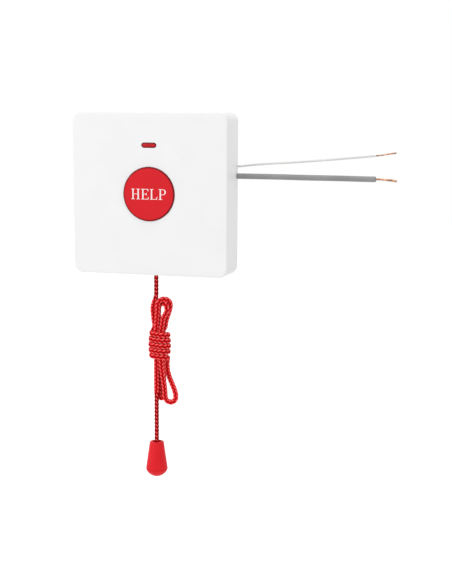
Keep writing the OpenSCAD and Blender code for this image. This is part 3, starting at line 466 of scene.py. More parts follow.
def run(a, b, late=1.0):
    """Points from a to b, upright at both ends: z follows the plain share k of the way, and x and
    y follow gently(k) ^ late, so that a power above 1 keeps them back."""
    a, b = np.array(a, float), np.array(b, float)
    k = np.linspace(0, 1, SAMPLES)[:, None]
    return np.hstack([a[:2] + (b[:2] - a[:2]) * gently(k) ** late, a[2:] + (b[2:] - a[2:]) * k])


def strand(*points):
    """One run from each point to the next."""
    return [run(a, b) for a, b in zip(points, points[1:])]


def bight(middle, start, end, y0, y1, shift=(0.0, 1.0)):
    """Half a turn about (x, z, radius), from one angle to another. It changes layer between
    the two shares of the way that shift gives."""
    k = np.linspace(0, 1, SAMPLES)
    angle = np.radians(start + (end - start) * k)
    x, z = middle[0] + middle[2] * np.cos(angle), middle[1] + middle[2] * np.sin(angle)
    layer = gently((k - shift[0]) / (shift[1] - shift[0]))
    return np.stack([x, y0 + (y1 - y0) * layer, z], axis=1)


def beside(middle, sign, y):
    """Point at a bight's left (-1) or right (1) side, in the layer at y."""
    return (middle[0] + sign * middle[2], y, middle[1])


def on_wrap(angle, z):
    """Points round the waist at an angle in degrees, from its left side towards the front, on
    the rounded square |x|^p + |y|^p = R^p, which the turns take round four strands. The middle
    turns lie looser than the first and the last."""
    a = np.radians(angle)
    looser = 1 - (2 * angle / (360 * TURNS) - 1) ** 2
    squareness = np.abs(np.cos(a)) ** WRAP_POWER + np.abs(np.sin(a)) ** WRAP_POWER
    out = WRAP_R / squareness ** (1 / WRAP_POWER) - WRAP_DRAWN_IN + WRAP_LOOSE * looser
    x, y = WAIST[0] - out * np.cos(a), WAIST[1] - out * np.sin(a)
    return np.stack([x, y, z + 0 * a], axis=-1)


def wrap_z(angle):
    """Height of the wrap: one pitch lower for each 360 degrees."""
    return WRAP_START - PITCH * angle / 360


# %% [markdown]
# ## The loops of the hank
# The strands are listed in the order in which the cord is laid: the way down, the wrap, then
# the loops. A strand that passes the waist keeps its own place there.

# %% The whole route
def waist_legs():
    """The wrap with a quarter bend before and after it, in which the cord turns from upright."""
    first, last = -LEAD_ANGLE, 360.0 * TURNS
    quarter = np.radians(np.linspace(0, 90, SAMPLES))
    turn = np.linspace(first, last, int(TURNS * WRAP_SAMPLES))
    z_in, z_out = wrap_z(first) + BEND, wrap_z(last) - BEND
    return [
        on_wrap(first - BEND_ANGLE * np.cos(quarter), z_in - BEND * np.sin(quarter)),
        on_wrap(turn, wrap_z(turn)),
        on_wrap(last + BEND_ANGLE * np.sin(quarter), z_out + BEND * np.cos(quarter)),
    ]


def loop_legs(start):
    """From the wrap's end through all loops of the hank and down to the knot in the tip."""
    front_right, back_left, back_right = (
        [(x, y, WAIST_TOP), (x, y, WAIST_END)]
        for x, y in ((STEP, CORD_Y), (0, BACK_Y), (STEP, BACK_Y)))
    return [
        run(start, beside(OPEN_END, 1, CORD_Y), late=1.4),
        bight(OPEN_END, 360, 180, CORD_Y, CORD_Y),
        *strand(beside(OPEN_END, -1, CORD_Y), *front_right[::-1], GATHER,
                beside(INNER_EYE, 1, CORD_Y)),
        bight(INNER_EYE, 0, 180, CORD_Y, BACK_Y, INNER_SHIFT),
        *strand(beside(INNER_EYE, -1, BACK_Y), *back_left, beside(TIGHT_END, -1, BACK_Y)),
        bight(TIGHT_END, 180, 360, BACK_Y, BACK_Y),
        *strand(beside(TIGHT_END, 1, BACK_Y), *back_right[::-1], FAN,
                beside(OUTER_EYE, 1, BACK_Y)),
        bight(OUTER_EYE, 0, 180, BACK_Y, CORD_Y, OUTER_SHIFT),
        *strand(beside(OUTER_EYE, -1, CORD_Y), (0, CORD_Y, WAIST_TOP), (0, CORD_Y, CORD_END)),
    ]


hank_start = (0, CORD_Y, HANK_TOP - HANK_STUB)
waist = np.concatenate(waist_legs())
descent = np.concatenate(strand((0, CORD_Y, CORD_TOP), hank_start, SWING, SWING_END, waist[0]))
rough_route = np.concatenate([descent, waist, *loop_legs(waist[-1])])
rough_length = run_length(rough_route)
print("cord route:", round(rough_length[-1], 1), "mm")

# %% [markdown]
# ## The braid
# The cord is braided from eight bundles, which show as four columns of slanted grains; two
# neighbouring columns make the herringbone. A bump map could fake that, but the outline has
# to be knobbly too. So each grain is a half ellipsoid in the unrolled surface, and the radius
# follows the highest grain at each point. The height is kept as an attribute for the shader.
# On the slack hank the bundles are plump; where the cord is pulled straight, its diameter and
# its grains are smaller, with wider gaps between them.

# %% The braid's grains
RING_STEP, CORD_SIDES = 0.21, 28
COLUMNS, GRAIN_PITCH, GRAIN_SLANT = 4, 2.1, math.radians(40)
SLACK_GRAIN, TAUT_GRAIN = (1.7, 0.76), (1.2, 0.46)
TAUT_RADIUS, SLACK_RADIUS, WRAP_RADIUS = 1.25, 1.55, 1.56
RELIEF = 0.17


def braid(along, angle, radius, grain_length, grain_width):
    """Height from 0 to 1 and the place across the grain from -1 to 1, for each point of the
    unrolled cord. A grain is an ellipse: (length share)^2 + (width share)^2 < 1."""
    height, across = np.zeros(along.shape), np.zeros(along.shape)
    for column in range(COLUMNS):
        turned_by = angle - 2 * math.pi * column / COLUMNS
        offset = radius * (np.mod(turned_by + math.pi, 2 * math.pi) - math.pi)
        shifted = along / GRAIN_PITCH + 0.5 * (column % 2)
        slant = GRAIN_SLANT * (1 if column % 2 else -1)
        for neighbour in (-1, 0, 1):
            rest = (shifted - np.round(shifted) + neighbour) * GRAIN_PITCH
            length = rest * math.cos(slant) + offset * math.sin(slant)
            width = offset * math.cos(slant) - rest * math.sin(slant)
            inside = 1 - (length / grain_length) ** 2 - (width / grain_width) ** 2
            grain = np.sqrt(np.clip(inside, 0, 1))
            across = np.where(grain > height, width / grain_width, across)
            height = np.maximum(height, grain)
    return height, across


def braided(name, route, radius, reference, relief, thread):
    """Tube whose radius is smaller by RELIEF in the gaps, with both attributes on its points;
    they are 0 at the closed ends."""
    grid = tube(route, radius * (1 - RELIEF + RELIEF * relief), reference, sides=CORD_SIDES)
    ends = np.zeros((1, CORD_SIDES + 1))
    relief, thread = (np.vstack([ends, values, ends]) for values in (relief, thread))
    return surface(name, [grid], relief, thread, sharp=180)


# %% [markdown]
# ## The cord's surface
# The grains are laid along the whole route. Its corners are softened first, because a cord
# can't bend sharply, and the swelling of the slack part starts and ends gently.

# %% The braided cord
TAIL_TOP = -111.0
WRAP_EASE, SLACK_EASE = 8, 6


def plateau(at, start, end, ease):
    """Share that rises gently from 0 at start to 1, and falls gently to 0 at end."""
    return gently((at - start) / ease) * gently((end - at) / ease)


def hung_cord():
    """Line and piece of the whole pull cord. The braid's columns face the viewer on the runs and
    outwards round the waist. Where the cord is slack it has turned by half a column, so that
    two columns show as a herringbone."""
    line = softened(resampled(rough_route, RING_STEP), 5)
    length = run_length(line)[:, None]
    wrap_from, wrap_to = rough_length[[len(descent), len(descent) + len(waist) - 1]]
    wrapped = plateau(length, wrap_from, wrap_to, WRAP_EASE)
    slack_from, slack_to = CORD_TOP - hank_start[2], rough_length[-1] - (TAIL_TOP - CORD_END)
    slack = plateau(length, slack_from, slack_to, SLACK_EASE)
    outwards = unit((line - [*WAIST, 0]) * [1, 1, 0])
    viewer = np.array([math.sin(VIEW_AZIMUTH), -math.cos(VIEW_AZIMUTH), 0])
    reference = unit((1 - wrapped) * viewer + wrapped * outwards)
    radius = TAUT_RADIUS + (SLACK_RADIUS - TAUT_RADIUS) * slack
    radius = radius + (WRAP_RADIUS - SLACK_RADIUS) * wrapped
    grain = [taut + (loose - taut) * slack for taut, loose in zip(TAUT_GRAIN, SLACK_GRAIN)]
    angle = np.linspace(0, 2 * math.pi, CORD_SIDES + 1)[None, :]
    along, around = length + 0 * angle, angle + math.pi / COLUMNS * slack
    relief, thread = braid(along, around, radius, *grain)
    return line, braided("braided_pull_cord", line, radius, reference, relief, thread)


cord_path, pull_cord = hung_cord()

# %% [markdown]
# ## The cord's material
# The bundles are polyester. The relief attribute paints light and shade on them: the gaps
# between them get a painted shade of deep red, since little light gets out of there, and the
# tops of the crowns get a pinkish painted highlight. Each bundle is made of fine filaments,
# which run along the grain; the thread attribute counts them across it.

# %% Cord material
FILAMENTS_PER_GRAIN = 5.0
FILAMENT_DEPTH_MM = 0.03


def braid_material():
    """Red polyester braid: painted shade in the gaps and a painted highlight on the tops, both by
    relief, and filaments by the place across the grain.
    """
    material, tree, shader = new_material(
        "braided_polyester_red", Roughness=0.62, IOR=1.5, Specular_IOR_Level=0.04)
    relief, thread = (add(tree, "ShaderNodeAttribute", out="Fac", attribute_name=label)
                      for label in ("relief", "thread"))
    # Painted shade: the colour falls to a dark red in the gaps between the grains, by the relief.
    crown = add(tree, "ShaderNodeMapRange", {"Value": relief, "From Min": 0.04, "From Max": 0.5})
    # Painted highlight: the tops of the grains turn pinkish white.
    painted_highlight = add(tree, "ShaderNodeMapRange", {"Value": relief, "From Min": 0.7, "From Max": 1.0})
    crown_and_highlight_red = layered(tree, "#ff1a22", (patches(tree, 3.0), "#f8151f"), (painted_highlight, "#ff8482"))
    tinted = layered(tree, "#680002", (crown, crown_and_highlight_red))
    wave = add(tree, "ShaderNodeMath", {0: thread, 1: FILAMENTS_PER_GRAIN * math.pi},
               operation="MULTIPLY")
    line = add(tree, "ShaderNodeMath", {0: wave}, operation="COSINE")
    groove = add(tree, "ShaderNodeMapRange", {"Value": line, "From Min": -1, "From Max": -0.2})
    filament = add(tree, "ShaderNodeMapRange", {"Value": groove, "To Min": 0.75})
    lined = layered(tree, "#c4141f", (groove, tinted))
    drive(shader, Base_Color=layered(tree, lined, (filament, tinted)),
          Normal=relief_of(tree, groove, FILAMENT_DEPTH_MM))
    return material


CORD_RED = braid_material()
place(pull_cord, "pull_train", "red_cord", CORD_RED,
      "pull_cord_upper", "pull_cord_hank", "pull_cord_lower")

# %% [markdown]
# ## Knots on the cord's ends
# The cord ends in a tight knot in the slider and in another one in the tip. An overhand knot
# follows the trefoil curve, drawn together until its turns press on each other. The braid is
# the same as on the slack cord.

# %% Knots
TREFOIL_STATIONS, TREFOIL_OPENING = 220, 0.25
KNOT_CORD_SHARE, KNOT_DEPTH_SHARE = 0.23, 0.4
KNOT_ACROSS = {"cord_knot": 4.3, "tip_knot": 5.0}


def knot_piece(name, height, extent):
    """Trefoil x = r (sin t + 2 sin 2t), y = r (cos t - 2 cos 2t), z = -h sin 3t, as a braided
    tube that fits into a ball of the given diameter in mm."""
    radius = KNOT_CORD_SHARE * extent
    reach = extent / 2 - radius
    t = np.linspace(TREFOIL_OPENING, 2 * math.pi - TREFOIL_OPENING, TREFOIL_STATIONS)
    route = resampled(np.stack([
        reach / 3 * (np.sin(t) + 2 * np.sin(2 * t)),
        CORD_Y + reach / 3 * (np.cos(t) - 2 * np.cos(2 * t)),
        height - KNOT_DEPTH_SHARE * reach * np.sin(3 * t),
    ], axis=1), RING_STEP)
    angle = np.linspace(0, 2 * math.pi, CORD_SIDES + 1)[None, :]
    along = run_length(route)[:, None] + 0 * angle
    relief, thread = braid(along, angle + 0 * along, TAUT_RADIUS, *SLACK_GRAIN)
    outwards = unit(route - [0, CORD_Y, height])
    return braided(name, route, radius, outwards, relief, thread)


knots = {}
for node, extent in KNOT_ACROSS.items():
    low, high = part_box(node)
    knots[node] = knot_piece("overhand_" + node, (low.z + high.z) / 2 / MM, extent)
    place(knots[node], "pull_train", "red_cord", CORD_RED, node)

# %% [markdown]
# ## The pull tip
# The tip is two mouldings that snap together over the knot: a bell with a rounded rim round its
# mouth, and a domed cap. Both are turned from a profile. The small radii at the seam make the
# fine line that is seen on the real tip.

# %% Pull tip
TIP_TOP, BELL_HEIGHT, DOME_HEIGHT, RIM_RISE = -137.0, 15.0, 4.2, 0.5
MOUTH_DEPTH, NECK_DEPTH, SPIGOT_HEIGHT = 3.0, 3.0, 2.4
BELL_TOP_R, BELL_SEAM_R, MOUTH_R, CORD_HOLE_R, CAVITY_R, SPIGOT_R = 3.8, 6.0, 2.5, 1.35, 4.0, 3.9
SEAM_Z, RIM_Z, MOUTH_Z = TIP_TOP - BELL_HEIGHT, TIP_TOP + RIM_RISE, TIP_TOP - MOUTH_DEPTH
CAVITY_Z = MOUTH_Z - NECK_DEPTH
PARTING = 0.02

bell_profile = rounded([
    (BELL_SEAM_R, SEAM_Z, 0.5), (BELL_TOP_R, RIM_Z, 0.7), (MOUTH_R, RIM_Z, 0.35),
    (MOUTH_R, MOUTH_Z, 0.3), (CORD_HOLE_R, MOUTH_Z, 0.15), (CORD_HOLE_R, CAVITY_Z, 0.1),
    (CAVITY_R, CAVITY_Z, 0.4), (CAVITY_R, SEAM_Z, 0.1),
])
tip_bell = surface("pull_tip_bell", [turned(bell_profile, centre=(0, CORD_Y, 0))])
place(tip_bell, "pull_train", "red_plastic", TIP_RED, "tip_bell")


def dome(radius, height, edge, top, steps=28):
    """Profile of a spherical cap, upside down: ball radius (r^2 + h^2) / 2h, then the edge."""
    ball = (radius ** 2 + height ** 2) / (2 * height)
    tilt = np.linspace(0, math.asin(radius / ball) * (1 - edge / radius), steps)
    return np.stack([ball * np.sin(tilt), top - height + ball * (1 - np.cos(tilt))], axis=1)


cap_low = dome(BELL_SEAM_R, DOME_HEIGHT, 0.3, SEAM_Z)
cap_top = rounded([
    (*cap_low[-1], 0), (BELL_SEAM_R - PARTING, SEAM_Z, 0.3), (SPIGOT_R, SEAM_Z, 0.1),
    (SPIGOT_R, SEAM_Z + SPIGOT_HEIGHT, 0.3), (0, SEAM_Z + SPIGOT_HEIGHT, 0),
], closed=False)
cap_profile = np.vstack([cap_low[:-1], cap_top])
tip_cap = surface("pull_tip_cap", [turned(cap_profile, centre=(0, CORD_Y, 0))])
place(tip_cap, "pull_train", "red_plastic", TIP_RED, "tip_cap")

# %% [markdown]
# ## The two wires
# The grey cable and the thin white wire start at the terminal block, lie under the clamp and
# leave through the notches in the side wall. Each is one jacket from end to end. At its cut
# end the copper shows: seven strands, twisted, and a little spread by the stripping tool.

# %% Shapes of the wires
ENTRY_X, ENTRY_Y, CLAMP_X, OUTLET_X, OUTLET_Y = 26.5, -12.0, 34.0, 43.0, -1.7
LEAD_SHARES = [(0, 0), (0.13, 0), (0.29, 0.1), (0.48, 0.45), (0.67, 0.85), (0.88, 1), (1.07, 1)]
EXIT_SHARES = [(0.61, 1), (0.5, 0.88), (0.38, 0.3), (0.26, 0.02), (0.13, 0), (0, 0)]
JACKET_BURR = 0.06
LAY_TURNS, SPLAY = 1.6, 0.35


def wire_route(height, clamp_y, rise):
    """Points from the terminal over the clamp to the outlet, and then along the free part."""
    lead = [(ENTRY_X + (CLAMP_X - ENTRY_X) * a, ENTRY_Y + (clamp_y - ENTRY_Y) * b, height)
            for a, b in LEAD_SHARES]
    leave = [(OUTLET_X - (OUTLET_X - CLAMP_X) * a, OUTLET_Y + (clamp_y - OUTLET_Y) * b, height)
             for a, b in EXIT_SHARES]
    free = [(OUTLET_X + x, OUTLET_Y, height + z) for x, z in rise[1:]]
    return softened(resampled(np.array(lead + leave + free, float), 0.5), 8)


def jacket(name, route, diameter):
    """Tube of a wire's jacket; its far end is cut square, with a small burr of radius."""
    radius = np.full(len(route), diameter / 2)
    radius[-1] -= JACKET_BURR * diameter
    return surface(name, [tube(route, radius, [0, 0, 1], sides=40)])


def strands(name, start, rise, diameter):
    """Seven strands: one in the middle and six round it, at angle 60 k + 360 turns s. Towards
    the end each leaves the twist by its own amount and stops at its own length; sines of the
    strand's number k give amounts that look like chance."""
    points = np.array([(start[0] + x, start[1], start[2] + z) for x, z in rise], float)
    line = softened(resampled(points, 0.12), 4)
    share = np.linspace(0, 1, len(line))
    across = diameter / 3
    grids = [tube(line[:-6], across / 2, [0, 0, 1], sides=12, round_ends=across / 3)]
    for k in range(6):
        angle = math.radians(60 * k) + 2 * math.pi * LAY_TURNS * share
        splay = SPLAY * (1 + 0.6 * math.sin(2.1 * k))
        lie = across * (1 + splay * gently(share * 1.6 - 0.6))
        offset = np.stack([0 * angle, lie * np.cos(angle), lie * np.sin(angle)], axis=1)
        short = 4 + int(5 * (1 + math.sin(3.7 * k)))
        grids.append(tube((line + offset)[:-short], across / 2, [0.2, 0.1, 1], sides=12,
                          round_ends=across / 3))
    return surface(name, grids)


# %% [markdown]
# ## Where the wires lie
# The free parts are given as small rises over their length. The grey cable is nearly straight,
# and the thin white wire climbs and bends up a little towards its end.

# %% Wires
GREY_RISE = [(0, 0), (3, 0), (10, 0), (18, 0), (26, 0), (34, -0.1), (42, -0.1), (50, -0.1),
             (58, -0.1), (66, -0.2), (71, -0.2), (74, -0.2)]
WHITE_RISE = [(0, 0), (3, 0.2), (7, 0.8), (12, 1.3), (18, 1.8), (26, 2.3), (34, 2.9), (42, 3.6),
              (50, 4.3), (58, 5.1), (66, 5.9), (71, 6.4), (74, 6.7)]
GREY_BARE = [(-3, 0), (0, 0), (3, 0), (8, -0.4), (11.5, -0.8)]
WHITE_BARE = [(-3, -0.2), (0, 0), (3, 0.4), (7, 1.1), (11, 1.7)]
GREY_Z, GREY_D, WHITE_Z, WHITE_D = 9.46, 2.95, 14.54, 1.1
GREY_JACKET = moulded("pvc_grey", "#949495", "#8c8c8e", 0.42, grit_mm=0.6, level=0.3)
WHITE_JACKET = moulded("pvc_white", "#dededc", "#d6d6d4", 0.38, grit_mm=0.6, level=0.3)

wires = [
    ("grey_cable", GREY_Z, -4.075, GREY_RISE, GREY_BARE, GREY_D, 1.05, GREY_JACKET, "stiff"),
    ("white_wire", WHITE_Z, -3.15, WHITE_RISE, WHITE_BARE, WHITE_D, 0.7, WHITE_JACKET, "medium"),
]
for name, height, clamp_y, rise, bare, diameter, core, finish, stiffness in wires:
    route = wire_route(height, clamp_y, rise)
    sleeve = jacket(name + "_jacket", route, diameter)
    place(sleeve, "housing", name.split("_")[0] + "_jacket", finish, name + "_lead", name)
    copper = strands(name + "_strands", route[-1], bare, core)
    place(copper, "housing", "copper", COPPER, name + "_core")

# %% [markdown]
# ## The front cover
# The cover is one moulding: a square tray with rounded corners, a softly rounded front edge and
# a round collar that guides the button. Its surface is drawn from the outline: each point of
# the rounded square has a partner on the collar's circle, and the profile runs from one to the
# other and back inside the wall. The holes don't follow the outline, so they are cut afterwards
# with a boolean.

# %% The cover's surface
HALF, CORNER_R, WALL = 43.0, 4.8, 2.0
FACE_Y, FACE_IN_Y, RIM_Y, COLLAR_END_Y = -20.0, -17.8, -0.2, -14.4
COLLAR_IN_R, COLLAR_OUT_R = 14.33, 16.05
EDGE_R, RIM_R, FILLET_R, LIP_R = 0.8, 0.2, 0.5, 0.15
FLAT_STRIP, BLEND_ROWS = 4, 5
CORNER_POINTS, SIDE_POINTS = 17, 24


def square_outline():
    """Points and outward normals of the rounded square, as two arrays of (x, z)."""
    arc = np.linspace(0, math.pi / 2, CORNER_POINTS)
    straight = np.linspace(-1, 1, SIDE_POINTS + 2)[1:-1] * (HALF - CORNER_R)
    points, normals = [], []
    for turn in np.radians([0, 90, 180, 270]):
        facing = np.array([math.cos(turn), math.sin(turn)])
        aside = np.array([-math.sin(turn), math.cos(turn)])
        spoke = np.cos(arc)[:, None] * facing + np.sin(arc)[:, None] * aside
        points += [facing * HALF + aside * straight[:, None],
                   (facing + aside) * (HALF - CORNER_R) + CORNER_R * spoke]
        normals += [np.broadcast_to(facing, (len(straight), 2)), spoke]
    return (np.concatenate(points + [points[0][:1]]), np.concatenate(normals + [normals[0][:1]]))


def cover_grid():
    """Rows of the cover: the outline moved inwards by each inset of the outer profile, then a
    blend to the circle, the collar's circles, and a blend back to the first row."""
    outer = rounded([
        (FLAT_STRIP, FACE_Y, 0), (0, FACE_Y, EDGE_R), (0, RIM_Y, RIM_R), (WALL, RIM_Y, RIM_R),
        (WALL, FACE_IN_Y, FILLET_R), (FLAT_STRIP, FACE_IN_Y, 0),
    ], closed=False)
    collar = rounded([
        (COLLAR_OUT_R + FLAT_STRIP, FACE_IN_Y, 0), (COLLAR_OUT_R, FACE_IN_Y, FILLET_R),
        (COLLAR_OUT_R, COLLAR_END_Y, RIM_R), (COLLAR_IN_R, COLLAR_END_Y, RIM_R),
        (COLLAR_IN_R, FACE_Y, LIP_R), (COLLAR_IN_R + FLAT_STRIP, FACE_Y, 0),
    ], closed=False)
    point, normal = square_outline()
    angle = np.arctan2(point[:, 1], point[:, 0])
    circle = np.stack([np.cos(angle), np.sin(angle)], axis=1)
    wall = [point - inset * normal for inset, y in outer]
    ring = [circle * radius for radius, y in collar]
    share = np.linspace(0, 1, BLEND_ROWS + 2)[1:-1]
    inwards = [wall[-1] * (1 - k) + ring[0] * k for k in share]
    outwards = [ring[-1] * (1 - k) + wall[0] * k for k in share]
    flat = np.stack(wall + inwards + ring + outwards + wall[:1])
    depth = np.concatenate([
        outer[:, 1], np.full(BLEND_ROWS, FACE_IN_Y), collar[:, 1],
        np.full(BLEND_ROWS, FACE_Y), outer[:1, 1],
    ])
    depth = depth[:, None] + np.zeros(flat.shape[:2])
    return np.stack([flat[..., 0], depth, flat[..., 1]], axis=-1)


# %% [markdown]
# ## Cutters
# A cutter is a stack of loops with a closed start and end. The window's cutter flares a little
# at the face, which leaves a fine chamfer round the lens.


# %% Loops
def plug(loops):
    """Closed grid through a list of loops; the ends are closed to their middles."""
    loops = np.stack(loops)
    ends = loops[[0, -1], :-1].mean(axis=1)
    ends = np.broadcast_to(ends[:, None], (2, *loops.shape[1:]))
    return np.concatenate([ends[:1], loops, ends[1:]])


def stadium(half_w, half_h, y, height, steps=16):
    """Loop of a lying stadium, two half circles at half_w - half_h from the middle."""
    angle = np.linspace(-math.pi / 2, math.pi / 2, steps)
    right = np.stack([half_w - half_h + half_h * np.cos(angle), half_h * np.sin(angle)], axis=1)
    loop = np.vstack([right, -right, right[:1]])
    return np.stack([loop[:, 0], np.full(len(loop), y), height + loop[:, 1]], axis=1)


def along_x(outline, ends):
    """The same closed outline of (y, z) at two places along x."""
    ring = np.vstack([outline, outline[:1]])
    return [np.column_stack([np.full(len(ring), x), ring]) for x in ends]


# %% [markdown]
# ## The cover's openings
# The window and the bush's hole go through the moulding, the four pockets take the catches of
# the base, and the two notches let the wires out. Each cutter runs a little past the wall, so
# that no skin is left.

# %% Cutters
BUSH_HOLE_R = 2.7
WINDOW_Z, WINDOW_HALF_W, WINDOW_HALF_H, WINDOW_GAP, CHAMFER = 25.6, 4.1, 1.3, 0.1, 0.18
HOOK_Z, POCKET_DEPTH, POCKET_HALF, POCKET_Y = 26.0, 0.8, 4.5, (-8.5, -6.3)
OUTLET_GAP, OVERRUN = 0.2, 0.5


def window_and_hole():
    """Cutters of the lamp window and of the bush's hole in the bottom wall."""
    half_w, half_h = WINDOW_HALF_W + WINDOW_GAP, WINDOW_HALF_H + WINDOW_GAP
    window = [stadium(half_w + grow, half_h + grow, y, WINDOW_Z) for grow, y in (
        (CHAMFER + OVERRUN, FACE_Y - OVERRUN), (0, FACE_Y + CHAMFER), (0, FACE_IN_Y + OVERRUN))]
    below, above = -HALF - OVERRUN, -HALF + WALL + OVERRUN
    hole = np.array([(0, below), (BUSH_HOLE_R, below), (BUSH_HOLE_R, above), (0, above)])
    return [plug(window), turned(hole, centre=(0, CORD_Y, 0), sides=64)]


def snap_pockets():
    """Shallow pockets inside both side walls, one above and one below the middle."""
    grids = []
    for side_x in (-1, 1):
        ends = sorted(side_x * (HALF - WALL + depth) for depth in (-OVERRUN, POCKET_DEPTH))
        for middle in (-HOOK_Z, HOOK_Z):
            (y0, y1), z0, z1 = POCKET_Y, middle - POCKET_HALF, middle + POCKET_HALF
            grids.append(plug(along_x([(y0, z0), (y1, z0), (y1, z1), (y0, z1)], ends)))
    return grids


def wire_notch(height, diameter):
    """U-shaped notch through the right wall, open to the rear, for a wire of that diameter."""
    half = (diameter + 2 * OUTLET_GAP) / 2
    angle = np.linspace(0, math.pi, 17)
    low = np.column_stack([OUTLET_Y - half * np.sin(angle), height + half * np.cos(angle)])
    ring = np.vstack([(OVERRUN, height + half), low, (OVERRUN, height - half)])
    return plug(along_x(ring, (HALF - WALL - OVERRUN, HALF + OVERRUN)))


def cut(piece, cutter, sharp):
    """Takes the cutter out of the piece for good and deletes the cutter."""
    modifier = piece.modifiers.new("holes", "BOOLEAN")
    modifier.operation, modifier.solver, modifier.object = "DIFFERENCE", "EXACT", cutter
    graph = bpy.context.evaluated_depsgraph_get()
    mesh = bpy.data.meshes.new_from_object(piece.evaluated_get(graph))
    piece.modifiers.clear()
    piece.data = mesh
    mesh.set_sharp_from_angle(angle=math.radians(sharp))
    bpy.data.objects.remove(cutter)
    print(piece.name, "has", len(mesh.polygons), "faces after the cuts")


# %% [markdown]
# ## The finished cover
# The holes are cut for good. Four turned posts behind the corners reach back to the base.

# %% Front cover
COVER_SHARP = 30
BOSS_AT, BOSS_R, BASE_Y = 36.0, 3.0, -2.5

cutters = window_and_hole() + snap_pockets()
cutters += [wire_notch(GREY_Z, GREY_D), wire_notch(WHITE_Z, WHITE_D)]
cover = surface("front_cover_shell", [cover_grid()], sharp=COVER_SHARP)
cut(cover, surface("cover_cutters", cutters, sharp=COVER_SHARP), COVER_SHARP)
place(cover, "housing", "white_plastic", COVER_WHITE, "front_cover")

boss_profile = rounded([(0, FACE_IN_Y - 0.2, 0), (BOSS_R, FACE_IN_Y - 0.2, 0),
                        (BOSS_R, BASE_Y, 0.2), (0, BASE_Y, 0)], closed=False)
bosses = surface("cover_bosses", [
    turned(boss_profile, axis="y", centre=(x, 0, z), sides=48)
    for x in (-BOSS_AT, BOSS_AT) for z in (-BOSS_AT, BOSS_AT)])
place(bosses, "housing", "white_plastic", COVER_WHITE)

# %% [markdown]
# ## The lamp window
# The lens is a stadium of tinted acrylic, set a little back from the face. Its rim is rounded,
# and a painted shade darkens its face towards the outline and its sides, where light that
# enters doesn't come back. A flange behind the face holds it.

# %% Lamp window
# Shares of the half height between which the painted shade darkens the lens.
RIM_FROM, RIM_TO = 0.3, 0.9


def lens_material():
    """Tinted acrylic: red with a painted shade towards the rim, by the distance from the stadium's
    middle line, max(|x| - reach, 0) and z combined."""
    material, tree, shader = new_material(
        "acrylic_red_tinted", Roughness=0.12, IOR=1.49, Specular_IOR_Level=0.2)
    position = add(tree, "ShaderNodeTexCoord", out="Object")
    parts = add(tree, "ShaderNodeSeparateXYZ", {0: position}).node.outputs
    reach = (WINDOW_HALF_W - WINDOW_HALF_H) * MM
    beyond = add(tree, "ShaderNodeMath", {0: parts["X"]}, operation="ABSOLUTE")
    beyond = add(tree, "ShaderNodeMath", {0: beyond, 1: reach}, operation="SUBTRACT")
    beyond = add(tree, "ShaderNodeMath", {0: beyond, 1: 0.0}, operation="MAXIMUM")
    up = add(tree, "ShaderNodeMath", {0: parts["Z"], 1: WINDOW_Z * MM}, operation="SUBTRACT")
    away = add(tree, "ShaderNodeCombineXYZ", {0: beyond, 1: up})
    radius = add(tree, "ShaderNodeVectorMath", {0: away}, "Value", operation="LENGTH")
    # Painted shade: the lens darkens towards its outline.
    rim = add(tree, "ShaderNodeMapRange", {
        "Value": radius, "From Min": RIM_FROM * WINDOW_HALF_H * MM,
        "From Max": RIM_TO * WINDOW_HALF_H * MM})
    glow = layered(tree, "#cc1c24", (patches(tree, 1.5), "#c0161e"), (rim, "#6c0a10"))
    drive(shader, Base_Color=glow)
    return material


LENS_Y, LENS_BACK_Y, FLANGE_SIDE, FLANGE_T = -19.8, -14.9, 1.4, 1.0
LENS_EDGE = [(0, 0.35), (0.04, 0.2), (0.14, 0.08), (0.3, 0.02), (0.6, 0)]
LENS_RED = lens_material()
lens_loops = [stadium(WINDOW_HALF_W, WINDOW_HALF_H, LENS_BACK_Y, WINDOW_Z)]
lens_loops += [stadium(WINDOW_HALF_W - inset, WINDOW_HALF_H - inset, LENS_Y + back, WINDOW_Z)
               for inset, back in LENS_EDGE]
flange_loops = [stadium(WINDOW_HALF_W + FLANGE_SIDE, WINDOW_HALF_H + FLANGE_SIDE, y, WINDOW_Z)
                for y in (FACE_IN_Y + PARTING, FACE_IN_Y + FLANGE_T)]
lens = surface("indicator_lens", [plug(lens_loops), plug(flange_loops)])
place(lens, "housing", "red_lens", LENS_RED, "lamp_window")

# %% [markdown]
# ## The button's red
# The cap is red ABS with a satin face. At its edge the surface turns away into the gap, and a
# painted shade there makes the colour fall to a dark red between 0.85 and 0.4 mm from it.

# %% Button material
CAP_R = 14.2
# Radii between which the painted shade at the cap's edge darkens the red.
CAP_SHADE_FROM, CAP_SHADE_TO = CAP_R - 0.85, CAP_R - 0.4


def button_material():
    """The moulded red, with a painted shade at the rim by the distance from the button's axis."""
    material = moulded("abs_red_satin", "#dc1a26", "#d61924", 0.38, level=0.18)
    tree = material.node_tree
    shader = tree.nodes["Principled BSDF"]
    face = shader.inputs["Base Color"].links[0].from_socket
    position = add(tree, "ShaderNodeTexCoord", out="Object")
    flat = add(tree, "ShaderNodeVectorMath", {0: position, 1: (1, 0, 1)}, operation="MULTIPLY")
    radius = add(tree, "ShaderNodeVectorMath", {0: flat}, "Value", operation="LENGTH")
    # Painted shade: the colour falls to a dark red towards the cap's edge.
    rim = add(tree, "ShaderNodeMapRange", {
        "Value": radius, "From Min": CAP_SHADE_FROM * MM, "From Max": CAP_SHADE_TO * MM})
    drive(shader, Base_Color=layered(tree, face, (rim, "#80060c")))
    return material


BUTTON_RED = button_material()

# %% [markdown]
# ## The legend on the button
# The button's word is printed in white ink. It is drawn here by its own outlines, one polygon
# for each letter, in a narrow book face with thin serifs. The ink lies on the cap as a plate a
# twentieth of a millimetre thick, so it needs no image. A letter's foot is at 0, its head at 1.

